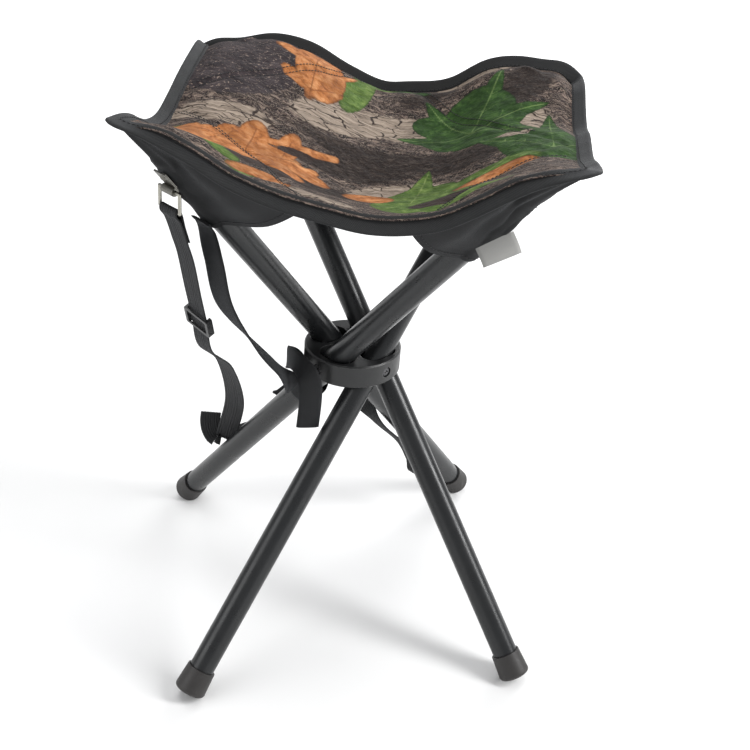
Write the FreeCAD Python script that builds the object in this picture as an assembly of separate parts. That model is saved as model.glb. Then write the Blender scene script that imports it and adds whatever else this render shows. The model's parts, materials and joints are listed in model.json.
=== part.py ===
"""Four-leg folding camp stool.

Four straight tubes cross inside a moulded ring hub. Each tube turns on a
radial screw through the hub wall, so all four fold together. A square fabric
seat hangs from the tube tops by four corner pockets. A carry strap joins the
top and the foot end of leg 1, and a hook-and-loop tie strap is sewn to the
pocket of the same leg.

Frame: millimetres, +Z up, origin on the ground plane below the hub axis,
front of the stool towards -Y. Modelled open, standing on its feet.
"""
import FreeCAD, Part
import math
import os

V = FreeCAD.Vector
X_AXIS, Y_AXIS, Z_AXIS = V(1, 0, 0), V(0, 1, 0), V(0, 0, 1)
cylinder = Part.makeCylinder    # radius, height, base, axis

# ------------------------------------------------------- driving dimensions
TUBE_OD = 22.0
TUBE_R = TUBE_OD / 2.0
TUBE_WALL = 1.2
TUBE_BORE_R = TUBE_R - TUBE_WALL
TUBE_END = 317.0          # lower tube end, distance below the pivot
PIVOT_R = 24.3            # hub axis to tube axis, at the pivot
TILT = math.radians(38.9)   # tube from vertical when open
LOWER_LEN = 334.1         # pivot to ground plane, along the tube axis
UPPER_LEN = 287.0         # pivot to the top of the end plug
PIVOT_Z = LOWER_LEN * math.cos(TILT)
LEG_AZIMUTH = {1: 135.0, 2: 45.0, 3: 225.0, 4: 315.0}   # of the pivots, degrees
HUB_OD = 84.6
HUB_R = HUB_OD / 2.0
HUB_H = 21.0
PLUG_HEAD = 4.0           # end plug, height standing above the tube
SCREW_R = 2.5
BORE_END_R = 6.5          # inner end of the screw bore, from the hub axis
RECESS_DEPTH = 3.2        # screw head recess in the hub wall
RECESS_FLOOR_R = HUB_R - RECESS_DEPTH
BRACKET_S_UPPER = 272.0   # rivets of the strap brackets, along leg 1 from the pivot
BRACKET_S_LOWER = -245.0
RING_WIRE_R = 1.4


# ------------------------------------------------------------------- helpers
def leg_axes(leg):
    """Pivot point and the leg's axes: radial, towards the underside, up the tube."""
    azimuth = math.radians(LEG_AZIMUTH[leg])
    radial = V(math.cos(azimuth), math.sin(azimuth), 0)
    tangent = V(-math.sin(azimuth), math.cos(azimuth), 0)
    up = tangent * math.sin(TILT) + V(0, 0, math.cos(TILT))
    under = up.cross(radial)
    return V(PIVOT_R * radial.x, PIVOT_R * radial.y, PIVOT_Z), radial, under, up


def axes_placement(origin, x_dir, y_dir, z_dir):
    return FreeCAD.Placement(FreeCAD.Matrix(
        x_dir.x, y_dir.x, z_dir.x, origin.x,
        x_dir.y, y_dir.y, z_dir.y, origin.y,
        x_dir.z, y_dir.z, z_dir.z, origin.z,
        0, 0, 0, 1))


def posed(shape, placement):
    result = shape.copy()
    result.Placement = placement
    return result


def on_leg(shape, leg):
    """Move a shape out of the leg's frame: X radial, Y underside, Z up the tube."""
    return posed(shape, axes_placement(*leg_axes(leg)))


def upright_at_pivot(leg):
    """Placement at the pivot: X radial, Y tangential, Z vertical."""
    pivot, radial, _, _ = leg_axes(leg)
    return axes_placement(pivot, radial, V(-radial.y, radial.x, 0), Z_AXIS)


def leg_point(leg, x, y, s):
    """Point at x radial, y towards the underside, s up the tube."""
    pivot, radial, under, up = leg_axes(leg)
    return pivot + radial * x + under * y + up * s


def closed_edges(shape):
    """Edges with one vertex: full circles."""
    return [e for e in shape.Edges if len(e.Vertexes) == 1]


def split_quads(quads):
    triangles = []
    for a, b, c, d in quads:
        triangles += [(a, b, c), (a, c, d)]
    return triangles


def faceted_solid(points, triangles):
    """Closed solid from flat triangles, given as indices into points."""
    faces = []
    for triangle in triangles:
        a, b, c = (points[i] for i in triangle)
        faces.append(Part.Face(Part.makePolygon([a, b, c, a])))
    solid = Part.Solid(Part.Shell(faces))
    if solid.Volume < 0:
        solid.reverse()
    return solid


def side_quads(first, second):
    """Quads joining two four-point sections, given by their numbers."""
    quads = []
    for j in range(4):
        k = (j + 1) % 4
        quads.append((4 * first + j, 4 * first + k, 4 * second + k, 4 * second + j))
    return quads


def ribbon(centres, across, width, thick):
    """Flat strip along centres; across gives the direction of its width."""
    count = len(centres)
    points = []
    for i, centre in enumerate(centres):
        before = centres[max(i - 1, 0)]
        after = centres[min(i + 1, count - 1)]
        along = (after - before).normalize()
        side = (across[i] - along * across[i].dot(along)).normalize()
        normal = along.cross(side).normalize()
        for u, v in ((-1, -1), (1, -1), (1, 1), (-1, 1)):
            points.append(centre + side * (u * width / 2.0) + normal * (v * thick / 2.0))
    quads = []
    for i in range(count - 1):
        quads += side_quads(i, i + 1)
    last = 4 * (count - 1)
    quads += [(3, 2, 1, 0), (last, last + 1, last + 2, last + 3)]
    return faceted_solid(points, split_quads(quads))


def smooth(points, per):
    """Catmull-Rom resampling of vectors, per steps to each span."""
    result = []
    count = len(points)
    for i in range(count - 1):
        p0, p1 = points[max(i - 1, 0)], points[i]
        p2, p3 = points[i + 1], points[min(i + 2, count - 1)]
        for j in range(per):
            t = j / float(per)
            result.append((p1 * 2.0 + (p2 - p0) * t
                           + (p0 * 2.0 - p1 * 5.0 + p2 * 4.0 - p3) * t * t
                           + (p1 * 3.0 - p0 - p2 * 3.0 + p3) * t * t * t) * 0.5)
    result.append(points[-1])
    return result


def strap(stations, per, width, thick):
    """Smoothed ribbon from stations of (centre, direction across)."""
    centres, across = zip(*stations)
    return ribbon(smooth(centres, per), smooth(across, per), width, thick)


# ----------------------------------------------------------------------- hub
HUB_CHAMFER = 1.2
WELL_R = TUBE_R + 0.6     # tube radius and clearance
WELL_DEPTH = HUB_H / 2.0 + 2.0      # from the pivot to past the hub face
# tangential reach of the tilted tube at the hub faces
SWING = HUB_H / 2.0 * math.tan(TILT) + (TUBE_R / math.cos(TILT) - TUBE_R) + 0.2
RECESS_R = 4.6


def well_cutter(leg):
    """Space one tube sweeps between folded upright and open."""
    pivot, radial, _, up = leg_axes(leg)
    tangent = V(-radial.y, radial.x, 0)
    folded = cylinder(WELL_R, 60, pivot - V(0, 0, 30), Z_AXIS)
    tilted = cylinder(WELL_R, 80, pivot - up * 40, up)
    cutter = folded.fuse(tilted)
    for side in (1, -1):
        bottom = 0 if side > 0 else -WELL_DEPTH
        far = cylinder(WELL_R, WELL_DEPTH,
                       pivot + tangent * (side * SWING) + V(0, 0, bottom), Z_AXIS)
        between = Part.makeBox(2 * WELL_R, SWING, WELL_DEPTH,
                               V(-WELL_R, 0 if side > 0 else -SWING, bottom))
        cutter = cutter.fuse(far).fuse(posed(between, upright_at_pivot(leg)))
    return cutter


def make_hub():
    hub = cylinder(HUB_R, HUB_H, V(0, 0, PIVOT_Z - HUB_H / 2.0), Z_AXIS)
    rims = [e for e in closed_edges(hub) if abs(e.BoundBox.XLength - HUB_OD) < 0.5]
    hub = hub.makeChamfer(HUB_CHAMFER, rims)
    for leg in LEG_AZIMUTH:
        radial = leg_axes(leg)[1]
        hub = hub.cut(well_cutter(leg))
        for radius, start, length in ((SCREW_R, BORE_END_R, HUB_R - BORE_END_R + 5.0),
                                      (RECESS_R, RECESS_FLOOR_R, 10.0)):
            base = V(radial.x * start, radial.y * start, PIVOT_Z)
            hub = hub.cut(cylinder(radius, length, base, radial))
    return hub


# ---------------------------------------------------------- legs and fittings
def rivet_hole(s):
    """Cutter for a strap bracket's rivet, on the underside of leg 1."""
    return cylinder(1.6, 8, V(0, TUBE_R - 4, s), Y_AXIS)


PIVOT_PLAY = 0.05         # radial clearance of tube hole on screw


def make_tube(leg):
    length = UPPER_LEN - PLUG_HEAD + TUBE_END
    tube = cylinder(TUBE_R, length, V(0, 0, -TUBE_END), Z_AXIS)
    tube = tube.cut(cylinder(TUBE_BORE_R, length + 2, V(0, 0, -TUBE_END - 1), Z_AXIS))
    tube = tube.cut(cylinder(SCREW_R + PIVOT_PLAY, 40, V(-20, 0, 0), X_AXIS))
    if leg == 1:
        for s in (BRACKET_S_UPPER, BRACKET_S_LOWER):
            tube = tube.cut(rivet_hole(s))
    return on_leg(tube, leg)


CAP_TOP = 303.0           # foot cap's upper rim, distance below the pivot
CAP_RIM_R = 12.7
CAP_R = 13.9
CAP_ROUND = 3.5           # rounding of the foot's end edge
CAP_TRIM = 1.1            # depth cut off at the ground plane
CAP_FLAT_R = CAP_R - CAP_ROUND
# Distance below the pivot where the rounding starts, and of the flat end
CAP_ROUND_START = (PIVOT_Z + CAP_TRIM - CAP_ROUND
                   - CAP_FLAT_R * math.sin(TILT)) / math.cos(TILT)
CAP_END = CAP_ROUND_START + CAP_ROUND


def make_foot_cap(leg):
    """Moulded sleeve, slightly flared, trimmed flat where it stands."""
    bend = CAP_ROUND * math.cos(math.radians(45))
    top, rim = V(0, 0, -CAP_TOP), V(CAP_RIM_R, 0, -CAP_TOP)
    round_start = V(CAP_R, 0, -CAP_ROUND_START)
    round_mid = V(CAP_FLAT_R + bend, 0, -CAP_ROUND_START - bend)
    round_end = V(CAP_FLAT_R, 0, -CAP_END)
    end = V(0, 0, -CAP_END)
    profile = Part.Wire([Part.makeLine(top, rim),
                         Part.makeLine(rim, round_start),
                         Part.Arc(round_start, round_mid, round_end).toShape(),
                         Part.makeLine(round_end, end),
                         Part.makeLine(end, top)])
    cap = Part.Face(profile).revolve(V(0, 0, 0), Z_AXIS, 360)
    cap = cap.cut(cylinder(TUBE_R, TUBE_END - CAP_TOP, V(0, 0, -TUBE_END), Z_AXIS))
    ground = Part.makeBox(800, 800, 100, V(-400, -400, -100))
    return on_leg(cap, leg).cut(ground)


PLUG_STEM = 8.0
PLUG_ROUND = 2.5


def make_end_plug(leg):
    """Plug in the tube top, under the seat corner."""
    base = UPPER_LEN - PLUG_HEAD
    plug = cylinder(TUBE_R, PLUG_HEAD, V(0, 0, base), Z_AXIS)
    rim = [e for e in closed_edges(plug) if abs(e.BoundBox.ZMin - UPPER_LEN) < 0.01]
    plug = plug.makeFillet(PLUG_ROUND, rim)
    plug = plug.fuse(cylinder(TUBE_BORE_R, PLUG_STEM, V(0, 0, base - PLUG_STEM), Z_AXIS))
    return on_leg(plug.removeSplitter(), leg)


SCREW_TIP_R = BORE_END_R + 0.6      # screw tip from the hub axis
SCREW_HEAD_R = 4.1
SCREW_HEAD_H = 2.3
SCREW_HEAD_ROUND = 1.0
SLOT_LEN, SLOT_W, SLOT_DEPTH = 4.4, 0.9, 1.3


def make_pivot_screw(leg):
    """Cross-slotted pan head in the wall recess, tip in the hub core."""
    seat_x = RECESS_FLOOR_R - PIVOT_R
    top_x = seat_x + SCREW_HEAD_H
    shank = cylinder(SCREW_R, RECESS_FLOOR_R - SCREW_TIP_R,
                     V(SCREW_TIP_R - PIVOT_R, 0, 0), X_AXIS)
    head = cylinder(SCREW_HEAD_R, SCREW_HEAD_H, V(seat_x, 0, 0), X_AXIS)
    rim = [e for e in closed_edges(head) if abs(e.BoundBox.XMin - top_x) < 0.01]
    head = head.makeFillet(SCREW_HEAD_ROUND, rim)
    for angle in (0, 90):
        slot = Part.makeBox(SLOT_DEPTH + 0.3, SLOT_LEN, SLOT_W,
                            V(top_x - SLOT_DEPTH, -SLOT_LEN / 2.0, -SLOT_W / 2.0))
        slot.rotate(V(0, 0, 0), X_AXIS, angle)
        head = head.cut(slot)
    return posed(shank.fuse(head).removeSplitter(), upright_at_pivot(leg))


POCKET_LEN = 78.0
POCKET_T = 1.2
POCKET_IN_R = TUBE_R + 0.5
POCKET_BASE = UPPER_LEN - POCKET_LEN + 1.5
POCKET_EDGE_Y = -2.0      # the cup covers the tube from here to the underside


def make_corner_pocket(leg):
    """Fabric cup round the underside of the tube end."""
    half = Part.makeBox(60, 30, POCKET_LEN + 10,
                        V(-30, POCKET_EDGE_Y, UPPER_LEN - POCKET_LEN - 5))
    base = V(0, 0, POCKET_BASE)
    skin = cylinder(POCKET_IN_R + POCKET_T, POCKET_LEN, base, Z_AXIS).cut(
        cylinder(POCKET_IN_R, POCKET_LEN - POCKET_T, base, Z_AXIS))
    cup = skin.common(half)
    if leg == 1:
        cup = cup.cut(rivet_hole(BRACKET_S_UPPER))
    return on_leg(cup, leg)


# ---------------------------------------------------------------------- seat
SEAT_TIP_R = 222.0        # hub axis to seat corner tip, in plan
SEAT_MID_R = 152.0        # hub axis to the middle of a seat edge
SEAT_HALF = SEAT_TIP_R / math.sqrt(2.0)
SEAT_TURN = math.radians(-7.5)      # seat corners from the 45 degree diagonals
SEAT_T = 2.0
BIND_W = 10.0             # edge binding width
BIND_T = 3.4
BIND_GAP = 0.15 / SEAT_HALF         # panel to binding, as a share of the half width
PANEL_EDGE = 1.0 - BIND_W / SEAT_HALF
# Seat height over one quadrant: rows and columns at STEPS from centre to edge
STEPS = (0.0, 0.25, 0.5, 0.78, 1.0)
HEIGHT = ((443, 444, 447, 453, 457),
          (444, 446, 451, 458, 461),
          (447, 451, 463, 473, 472),
          (453, 458, 473, 494, 489),
          (457, 461, 472, 489, 492))
INNER_STEPS = [-step for step in STEPS[3:0:-1]] + list(STEPS[:4])


def height_cell(v):
    """Table interval holding |v|, and the fraction along it."""
    v = min(abs(v), 1.0)
    for i in range(4):
        if v <= STEPS[i + 1]:
            return i, (v - STEPS[i]) / (STEPS[i + 1] - STEPS[i])


def seat_point(a, b):
    """Mid-surface of the seat; a and b run from -1 to 1 between the edges."""
    i, u = height_cell(a)
    j, w = height_cell(b)
    z = ((1 - u) * (1 - w) * HEIGHT[i][j] + u * (1 - w) * HEIGHT[i + 1][j]
         + (1 - u) * w * HEIGHT[i][j + 1] + u * w * HEIGHT[i + 1][j + 1])
    x = a * (SEAT_HALF - (SEAT_HALF - SEAT_MID_R) * (1 - b * b))
    y = b * (SEAT_HALF - (SEAT_HALF - SEAT_MID_R) * (1 - a * a))
    cos, sin = math.cos(SEAT_TURN), math.sin(SEAT_TURN)
    return V(x * cos - y * sin, x * sin + y * cos, z)


def make_seat_panel():
    """Closed sheet of constant vertical thickness over a square grid."""
    grid = [-PANEL_EDGE] + INNER_STEPS + [PANEL_EDGE]
    n = len(grid)
    middle = [seat_point(a, b) for a in grid for b in grid]
    points = [q + V(0, 0, side * SEAT_T / 2.0) for side in (1, -1) for q in middle]
    low = n * n           # index offset to the underside
    triangles = []
    for i in range(n - 1):
        for j in range(n - 1):
            a, b = i * n + j, i * n + j + 1
            c, d = (i + 1) * n + j + 1, (i + 1) * n + j
            # the diagonals mirror from quadrant to quadrant
            if (2 * i + 1 < n - 1) == (2 * j + 1 < n - 1):
                top = ((a, d, c), (a, c, b))
            else:
                top = ((a, d, b), (b, d, c))
            for t in top:
                triangles += [t, (t[2] + low, t[1] + low, t[0] + low)]
    edge = ([j for j in range(n)]
            + [i * n + n - 1 for i in range(1, n)]
            + [(n - 1) * n + j for j in range(n - 2, -1, -1)]
            + [i * n for i in range(n - 2, 0, -1)])
    walls = [(a, b, b + low, a + low) for a, b in zip(edge, edge[1:] + edge[:1])]
    return faceted_solid(points, triangles + split_quads(walls))


def make_seat_binding():
    """Closed loop of tape just outside the panel's cut edge."""
    half_thick = V(0, 0, BIND_T / 2.0)
    points = []
    for turn in range(4):
        for step in [-1.0] + INNER_STEPS:
            pair = []
            for f in (PANEL_EDGE + BIND_GAP, 1.0):
                v = -f if step == -1.0 else step
                a, b = ((v, -f), (f, v), (-v, f), (-f, -v))[turn]
                pair.append(seat_point(a, b))
            inner, outer = pair
            points += [inner + half_thick, outer + half_thick,
                       outer - half_thick, inner - half_thick]
    count = len(points) // 4
    quads = []
    for i in range(count):
        quads += side_quads(i, (i + 1) % count)
    return faceted_solid(points, split_quads(quads))


# ------------------------------------------------------------- strap hardware
RADIAL_1 = leg_axes(1)[1]
RING_W = 23.0             # wire ring, bar centre to bar centre
RING_H = 15.0
PLATE_W, PLATE_T, PLATE_LEN = 13.0, 1.4, 16.0
PLATE_GAP = 0.1           # plate above the tube or cloth
EYE_R = 3.3
EYE_Y = TUBE_R + 4.0      # eye axis from the tube axis, without cloth
EYE_S = 11.5              # rivet to eye axis, along the tube
UPPER_LIFT = 1.8          # plate held off the tube by the cloth under it
# rivet position, side of the eye along the tube, lift
BRACKETS = {"upper": (BRACKET_S_UPPER, -1, UPPER_LIFT),
            "lower": (BRACKET_S_LOWER, 1, 0.0)}


def ring_bar(s, side, lift):
    """Centre of the bracket's eye, where the ring's top bar runs."""
    return leg_point(1, 0, EYE_Y + lift, s + side * EYE_S)


def make_ring(bar):
    """Rectangular wire loop hanging from a bar centred at bar, along RADIAL_1."""
    half, drop = RADIAL_1 * (RING_W / 2.0), V(0, 0, RING_H)
    corners = [bar - half, bar + half, bar + half - drop, bar - half - drop]
    loop = None
    for start, end in zip(corners, corners[1:] + corners[:1]):
        rod = cylinder(RING_WIRE_R, (end - start).Length, start, (end - start).normalize())
        ball = Part.makeSphere(RING_WIRE_R, start)
        loop = rod.fuse(ball) if loop is None else loop.fuse(rod).fuse(ball)
    return loop.removeSplitter()


def make_bracket(s, side, lift):
    """Folded metal strip: plate over the tube, eye round the ring's bar."""
    start = s - (6.0 if side > 0 else 10.0)
    plate = Part.makeBox(PLATE_W, PLATE_T, PLATE_LEN,
                         V(-PLATE_W / 2.0, TUBE_R + PLATE_GAP + lift, start))
    eye_y, eye_s = EYE_Y + lift, s + side * EYE_S
    body = plate.fuse(cylinder(EYE_R, PLATE_W, V(-PLATE_W / 2.0, eye_y, eye_s), X_AXIS))
    body = body.cut(cylinder(RING_WIRE_R + 0.08, 20.0, V(-10, eye_y, eye_s), X_AXIS))
    body = body.cut(rivet_hole(s))
    body = body.cut(cylinder(TUBE_R + 0.05 + lift, 80, V(0, 0, s - 40), Z_AXIS))
    return on_leg(body, 1)


def make_rivet(s, lift):
    """Shank through the tube wall, domed head outside, flat tail inside."""
    head_y = TUBE_R + PLATE_GAP + PLATE_T + lift
    shank = cylinder(1.55, 5.0 + lift, V(0, TUBE_R - 3.0, s), Y_AXIS)
    ball = Part.makeSphere(4.0, V(0, head_y - 2.2, s))
    dome = ball.common(Part.makeBox(10, 6, 10, V(-5, head_y, s - 5)))
    tail = cylinder(2.6, 1.2, V(0, TUBE_BORE_R - 1.9, s), Y_AXIS)
    return on_leg(shank.fuse(dome).fuse(tail).removeSplitter(), 1)


# --------------------------------------------------------------- carry strap
WEB_W = 20.0
WEB_T = 1.5
UPPER_BAR = ring_bar(*BRACKETS["upper"])
LOWER_BAR = ring_bar(*BRACKETS["lower"])
ABOVE_SLIDER = V(-130, -76, 354)
SLIDER_AT = V(-127, -60, 319)
BELOW_SLIDER = V(-124, -44, 284)

# Strap stations: centre, direction across
CARRY_UPPER = [
    (UPPER_BAR - V(0, 0, RING_H) - V(0, 0, RING_WIRE_R + 1.2), RADIAL_1),
    (V(-133, -92, 390), RADIAL_1),
    (ABOVE_SLIDER, RADIAL_1),
    (SLIDER_AT, RADIAL_1),
    (BELOW_SLIDER, RADIAL_1),
    (V(-111, -6, 246), V(-0.8, 0.6, 0.1)),
    (V(-106.2, 45.2, 176.2), V(-0.9, 0.4, 0.1)),
    (V(-117.3, 87.2, 108.8), V(-0.95, 0.2, 0.2))]
CARRY_LOWER = [
    (V(-118.6, 90.5, 103), V(-0.95, 0.2, 0.2)),
    (V(-121, 104, 92), V(-0.9, 0.1, 0.4)),
    (V(-107.4, 97.8, 102), V(-0.6, 0.2, -0.75)),
    (V(-88.9, 81.7, 127.5), V(-0.65, 0.1, -0.7)),
    (V(-71.2, 63.8, 157.2), V(-0.6, 0.2, -0.75)),
    (V(-54, 55, 186), V(-0.1, 0.3, -0.95)),
    (V(-26, 68, 196), V(0.1, 0.3, -0.9)),
    (V(3, 78, 190), V(0.45, 0.2, -0.8)),
    (V(15.5, 81.1, 160.3), V(0.7, -0.2, -0.5)),
    (V(32, 76.5, 137.2), -RADIAL_1),
    (leg_point(1, 0, 15.5, -185), -RADIAL_1),
    (leg_point(1, 0, 16.5, -207), -RADIAL_1),
    (LOWER_BAR + V(-5.5, -5.5, 1.0), -RADIAL_1),
    (LOWER_BAR - V(0, 0, RING_H) + V(-2.2, -2.2, 1.5), -RADIAL_1)]

SLIDER_W, SLIDER_LEN, SLIDER_H = 27.0, 20.0, 6.0
SLIDER_OPENING = 21.4     # between the side rails
# Cuts between the rails: y start, y length, z start, z height
SLIDER_CUTS = ((-20.0, 40.0, -1.7, 3.4),    # webbing passage
               (-7.2, 14.4, 1.0, 3.0),      # between the end bars
               (-20.0, 18.4, -4.0, 3.0),    # either side of the centre bar
               (1.6, 18.4, -4.0, 3.0))


def make_slider():
    """End bars on one face of the webbing, centre bar on the other, side rails."""
    along = (BELOW_SLIDER - ABOVE_SLIDER).normalize()
    across = (RADIAL_1 - along * RADIAL_1.dot(along)).normalize()
    normal = along.cross(across).normalize()
    frame = Part.makeBox(SLIDER_W, SLIDER_LEN, SLIDER_H,
                         V(-SLIDER_W / 2.0, -SLIDER_LEN / 2.0, -SLIDER_H / 2.0))
    frame = frame.makeFillet(1.6, [e for e in frame.Edges if e.BoundBox.ZLength > 5.9
                                   and e.BoundBox.XLength < 0.1])
    for y, length, z, height in SLIDER_CUTS:
        frame = frame.cut(Part.makeBox(SLIDER_OPENING, length, height,
                                       V(-SLIDER_OPENING / 2.0, y, z)))
    return posed(frame.removeSplitter(), axes_placement(SLIDER_AT, across, along, normal))


# ----------------------------------------------------------------- tie strap
TIE_W = 20.0
TIE_T = 2.0
WRAP_S = -44.0            # middle of the turn round tube 3, from the pivot
WRAP_IN_R = TUBE_R + 0.4

# From the pocket of leg 1 down towards the hub
TIE_LEAD = [
    (leg_point(1, 0, 15.2, 214), RADIAL_1),
    (V(-112, -90, 388), V(-0.8, 0.6, 0)),
    (V(-104, -86, 348), V(-0.8, 0.6, 0)),
    (V(-82, -72, 306), V(-0.6, 0.5, 0.6)),
    (V(-65, -57, 277), V(-0.5, 0.5, 0.7)),
    (V(-56, -42, 255), V(-0.2, 0.25, 0.95)),
    (V(-50, -24, 240), V(0.3, -0.3, 0.9))]
# From the wrap in a loose turn past the hub wall, free end down
TIE_TAIL = [
    (leg_point(3, 1, -18.0, WRAP_S), leg_axes(3)[3]),
    (V(-52, 3.5, 249), V(0.2, -0.1, 0.97)),
    (V(-55.5, -9, 258), V(0, 0, 1)),
    (V(-53, -22.5, 265.5), V(0.05, 0, 1)),
    (V(-47, -35.5, 268.5), V(0.3, -0.1, 0.9)),
    (V(-39, -44.5, 264), V(0.75, -0.05, 0.6)),
    (V(-35, -46, 252), V(0.96, 0.1, 0.2)),
    (V(-34.5, -46, 235), V(0.97, 0.2, 0)),
    (V(-36, -45, 210), V(0.97, 0.2, 0))]


def make_tie_wrap():
    """Closed band round tube 3, below the hub."""
    base = WRAP_S - TIE_W / 2.0
    wrap = cylinder(WRAP_IN_R + TIE_T, TIE_W, V(0, 0, base), Z_AXIS).cut(
        cylinder(WRAP_IN_R, TIE_W + 2, V(0, 0, base - 1), Z_AXIS))
    return on_leg(wrap, 3)


# --------------------------------------------------------------------- label
def make_label():
    """Blank label sewn in under the pocket of leg 3."""
    root = leg_point(3, 16.5, 6, 236) + V(3, -8, -6)
    offsets = [V(0, 0, 0), V(10, -4, -8), V(22, -6, -13), V(34, -6, -14)]
    return ribbon([root + offset for offset in offsets], [V(0.2, 0.9, 0.3)] * 4, 24.0, 0.6)


# ------------------------------------------------------------ build and export
nodes = {
    "hub_ring": make_hub(),
    "seat_panel": make_seat_panel(),
    "seat_binding": make_seat_binding(),
    "carry_strap_upper": strap(CARRY_UPPER, 4, WEB_W, WEB_T),
    "carry_strap_lower": strap(CARRY_LOWER, 3, WEB_W, WEB_T),
    "strap_slider": make_slider(),
    "tie_strap_lead": strap(TIE_LEAD, 3, TIE_W, TIE_T),
    "tie_strap_wrap": make_tie_wrap(),
    "tie_strap_tail": strap(TIE_TAIL, 3, TIE_W, TIE_T),
    "care_label": make_label(),
}
for leg in LEG_AZIMUTH:
    nodes["leg_tube_%d" % leg] = make_tube(leg)
    nodes["foot_cap_%d" % leg] = make_foot_cap(leg)
    nodes["end_plug_%d" % leg] = make_end_plug(leg)
    nodes["pivot_screw_%d" % leg] = make_pivot_screw(leg)
    nodes["corner_pocket_%d" % leg] = make_corner_pocket(leg)
for name, (s, side, lift) in BRACKETS.items():
    nodes["strap_bracket_%s" % name] = make_bracket(s, side, lift)
    nodes["bracket_rivet_%s" % name] = make_rivet(s, lift)
    nodes["strap_ring_%s" % name] = make_ring(ring_bar(s, side, lift))

os.makedirs("parts", exist_ok=True)
for name, shape in nodes.items():
    if isinstance(shape, Part.Compound) and len(shape.Solids) == 1:
        shape = shape.Solids[0]
    assert shape.isValid() and shape.Volume > 0, name
    shape.exportStep("parts/%s.step" % name)
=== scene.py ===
"""Folding sling stool: four crossed tubes on a hub, a printed cloth seat, pockets and straps.

Work is in millimetres, +Z up, front towards -Y, left towards -X. The "row" frame is the frame
of the CAD pieces; the seat frame is turned 7.5 degrees from it about Z. Meshes are built in
the row frame and scaled to metres in add_mesh.
"""
import json
import math
from collections import namedtuple
import bpy
import numpy as np
from mathutils import Matrix, Vector


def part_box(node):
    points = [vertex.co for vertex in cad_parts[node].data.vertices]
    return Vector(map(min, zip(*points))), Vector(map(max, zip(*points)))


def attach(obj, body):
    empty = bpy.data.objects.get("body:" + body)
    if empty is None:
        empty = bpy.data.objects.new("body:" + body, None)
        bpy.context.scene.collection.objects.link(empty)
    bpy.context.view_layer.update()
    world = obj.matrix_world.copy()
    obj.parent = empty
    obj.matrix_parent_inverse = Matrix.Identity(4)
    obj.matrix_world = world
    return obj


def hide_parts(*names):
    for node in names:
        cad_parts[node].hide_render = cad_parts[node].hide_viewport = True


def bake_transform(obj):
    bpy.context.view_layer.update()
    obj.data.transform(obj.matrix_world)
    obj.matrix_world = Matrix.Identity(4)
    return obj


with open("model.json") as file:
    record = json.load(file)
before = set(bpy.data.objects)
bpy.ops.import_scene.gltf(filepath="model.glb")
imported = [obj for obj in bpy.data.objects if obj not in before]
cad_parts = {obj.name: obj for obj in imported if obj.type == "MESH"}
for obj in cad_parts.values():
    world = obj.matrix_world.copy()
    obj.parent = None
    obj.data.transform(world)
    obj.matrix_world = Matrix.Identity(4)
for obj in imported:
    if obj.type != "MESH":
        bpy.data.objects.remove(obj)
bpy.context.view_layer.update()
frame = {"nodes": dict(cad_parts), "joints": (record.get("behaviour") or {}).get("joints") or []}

MM = 0.001
TAU = 2 * math.pi

# ------------------------------------------------------------------ leg frames
SEAT_TURN = math.radians(-7.5)
TUBE_R = 11.0
TUBE_TOP = 287.0  # from the pivot, along the tube

# hinge: hinge axis; along: up the opened tube; normal: square to both
Leg = namedtuple("Leg", "pivot hinge normal along")
LEGS = {}
for joint in frame["joints"]:
    if joint["name"].startswith("leg_"):
        hinge = np.array(joint["axis"], float)
        hinge /= np.linalg.norm(hinge)
        lean = math.radians(joint["range_deg"][1])
        level = np.array([-hinge[1], hinge[0], 0.0])
        along = level * math.sin(lean) + np.array([0, 0, math.cos(lean)])
        pivot = np.array(joint["pos_m"], float) * 1000.0
        number = int(joint["name"].split("_")[1])
        LEGS[number] = Leg(pivot, hinge, np.cross(along, hinge), along)


class Corner(namedtuple("Corner", "x_sign y_sign cross_edge side_edge seam")):
    """A seat corner; seam is its pocket seam in seat coordinates a, b from -1 to 1."""

    @property
    def name(self):
        return f"{self.cross_edge}_{self.side_edge}"


# keyed by leg number
CORNERS = {
    1: Corner(-1, -1, "front", "left", [(-.14, -1), (-.50, -.50), (-1, -.14)]),
    3: Corner(1, -1, "front", "right", [(.29, -1), (.53, -.53), (1, -.29)]),
    4: Corner(1, 1, "back", "right", [(.06, 1), (.43, .43), (1, -.20)]),
    2: Corner(-1, 1, "back", "left", [(-.05, 1), (-.47, .47), (-1, .0)]),
}


def at_leg(number, on_hinge, on_normal, on_along):
    leg = LEGS[number]
    return leg.pivot + leg.hinge * on_hinge + leg.normal * on_normal + leg.along * on_along


def spin(points, angle):
    """Turn points about Z."""
    points = np.asarray(points, float)
    x, y, z = points[..., 0], points[..., 1], points[..., 2]
    c, s = math.cos(angle), math.sin(angle)
    return np.stack([x * c - y * s, x * s + y * c, z], -1)


def to_row(points):
    return spin(points, SEAT_TURN)


def to_seat(points):
    return spin(points, -SEAT_TURN)


# ------------------------------------------------------------------ curve tools
def smooth01(t):
    t = np.clip(t, 0.0, 1.0)
    return t * t * (3 - 2 * t)


def unit(vectors):
    return vectors / np.linalg.norm(vectors, axis=1, keepdims=True)


def weigh(first, second, share):
    """Mix of two points; share is the part of the first."""
    return first * share + second * (1 - share)


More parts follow.
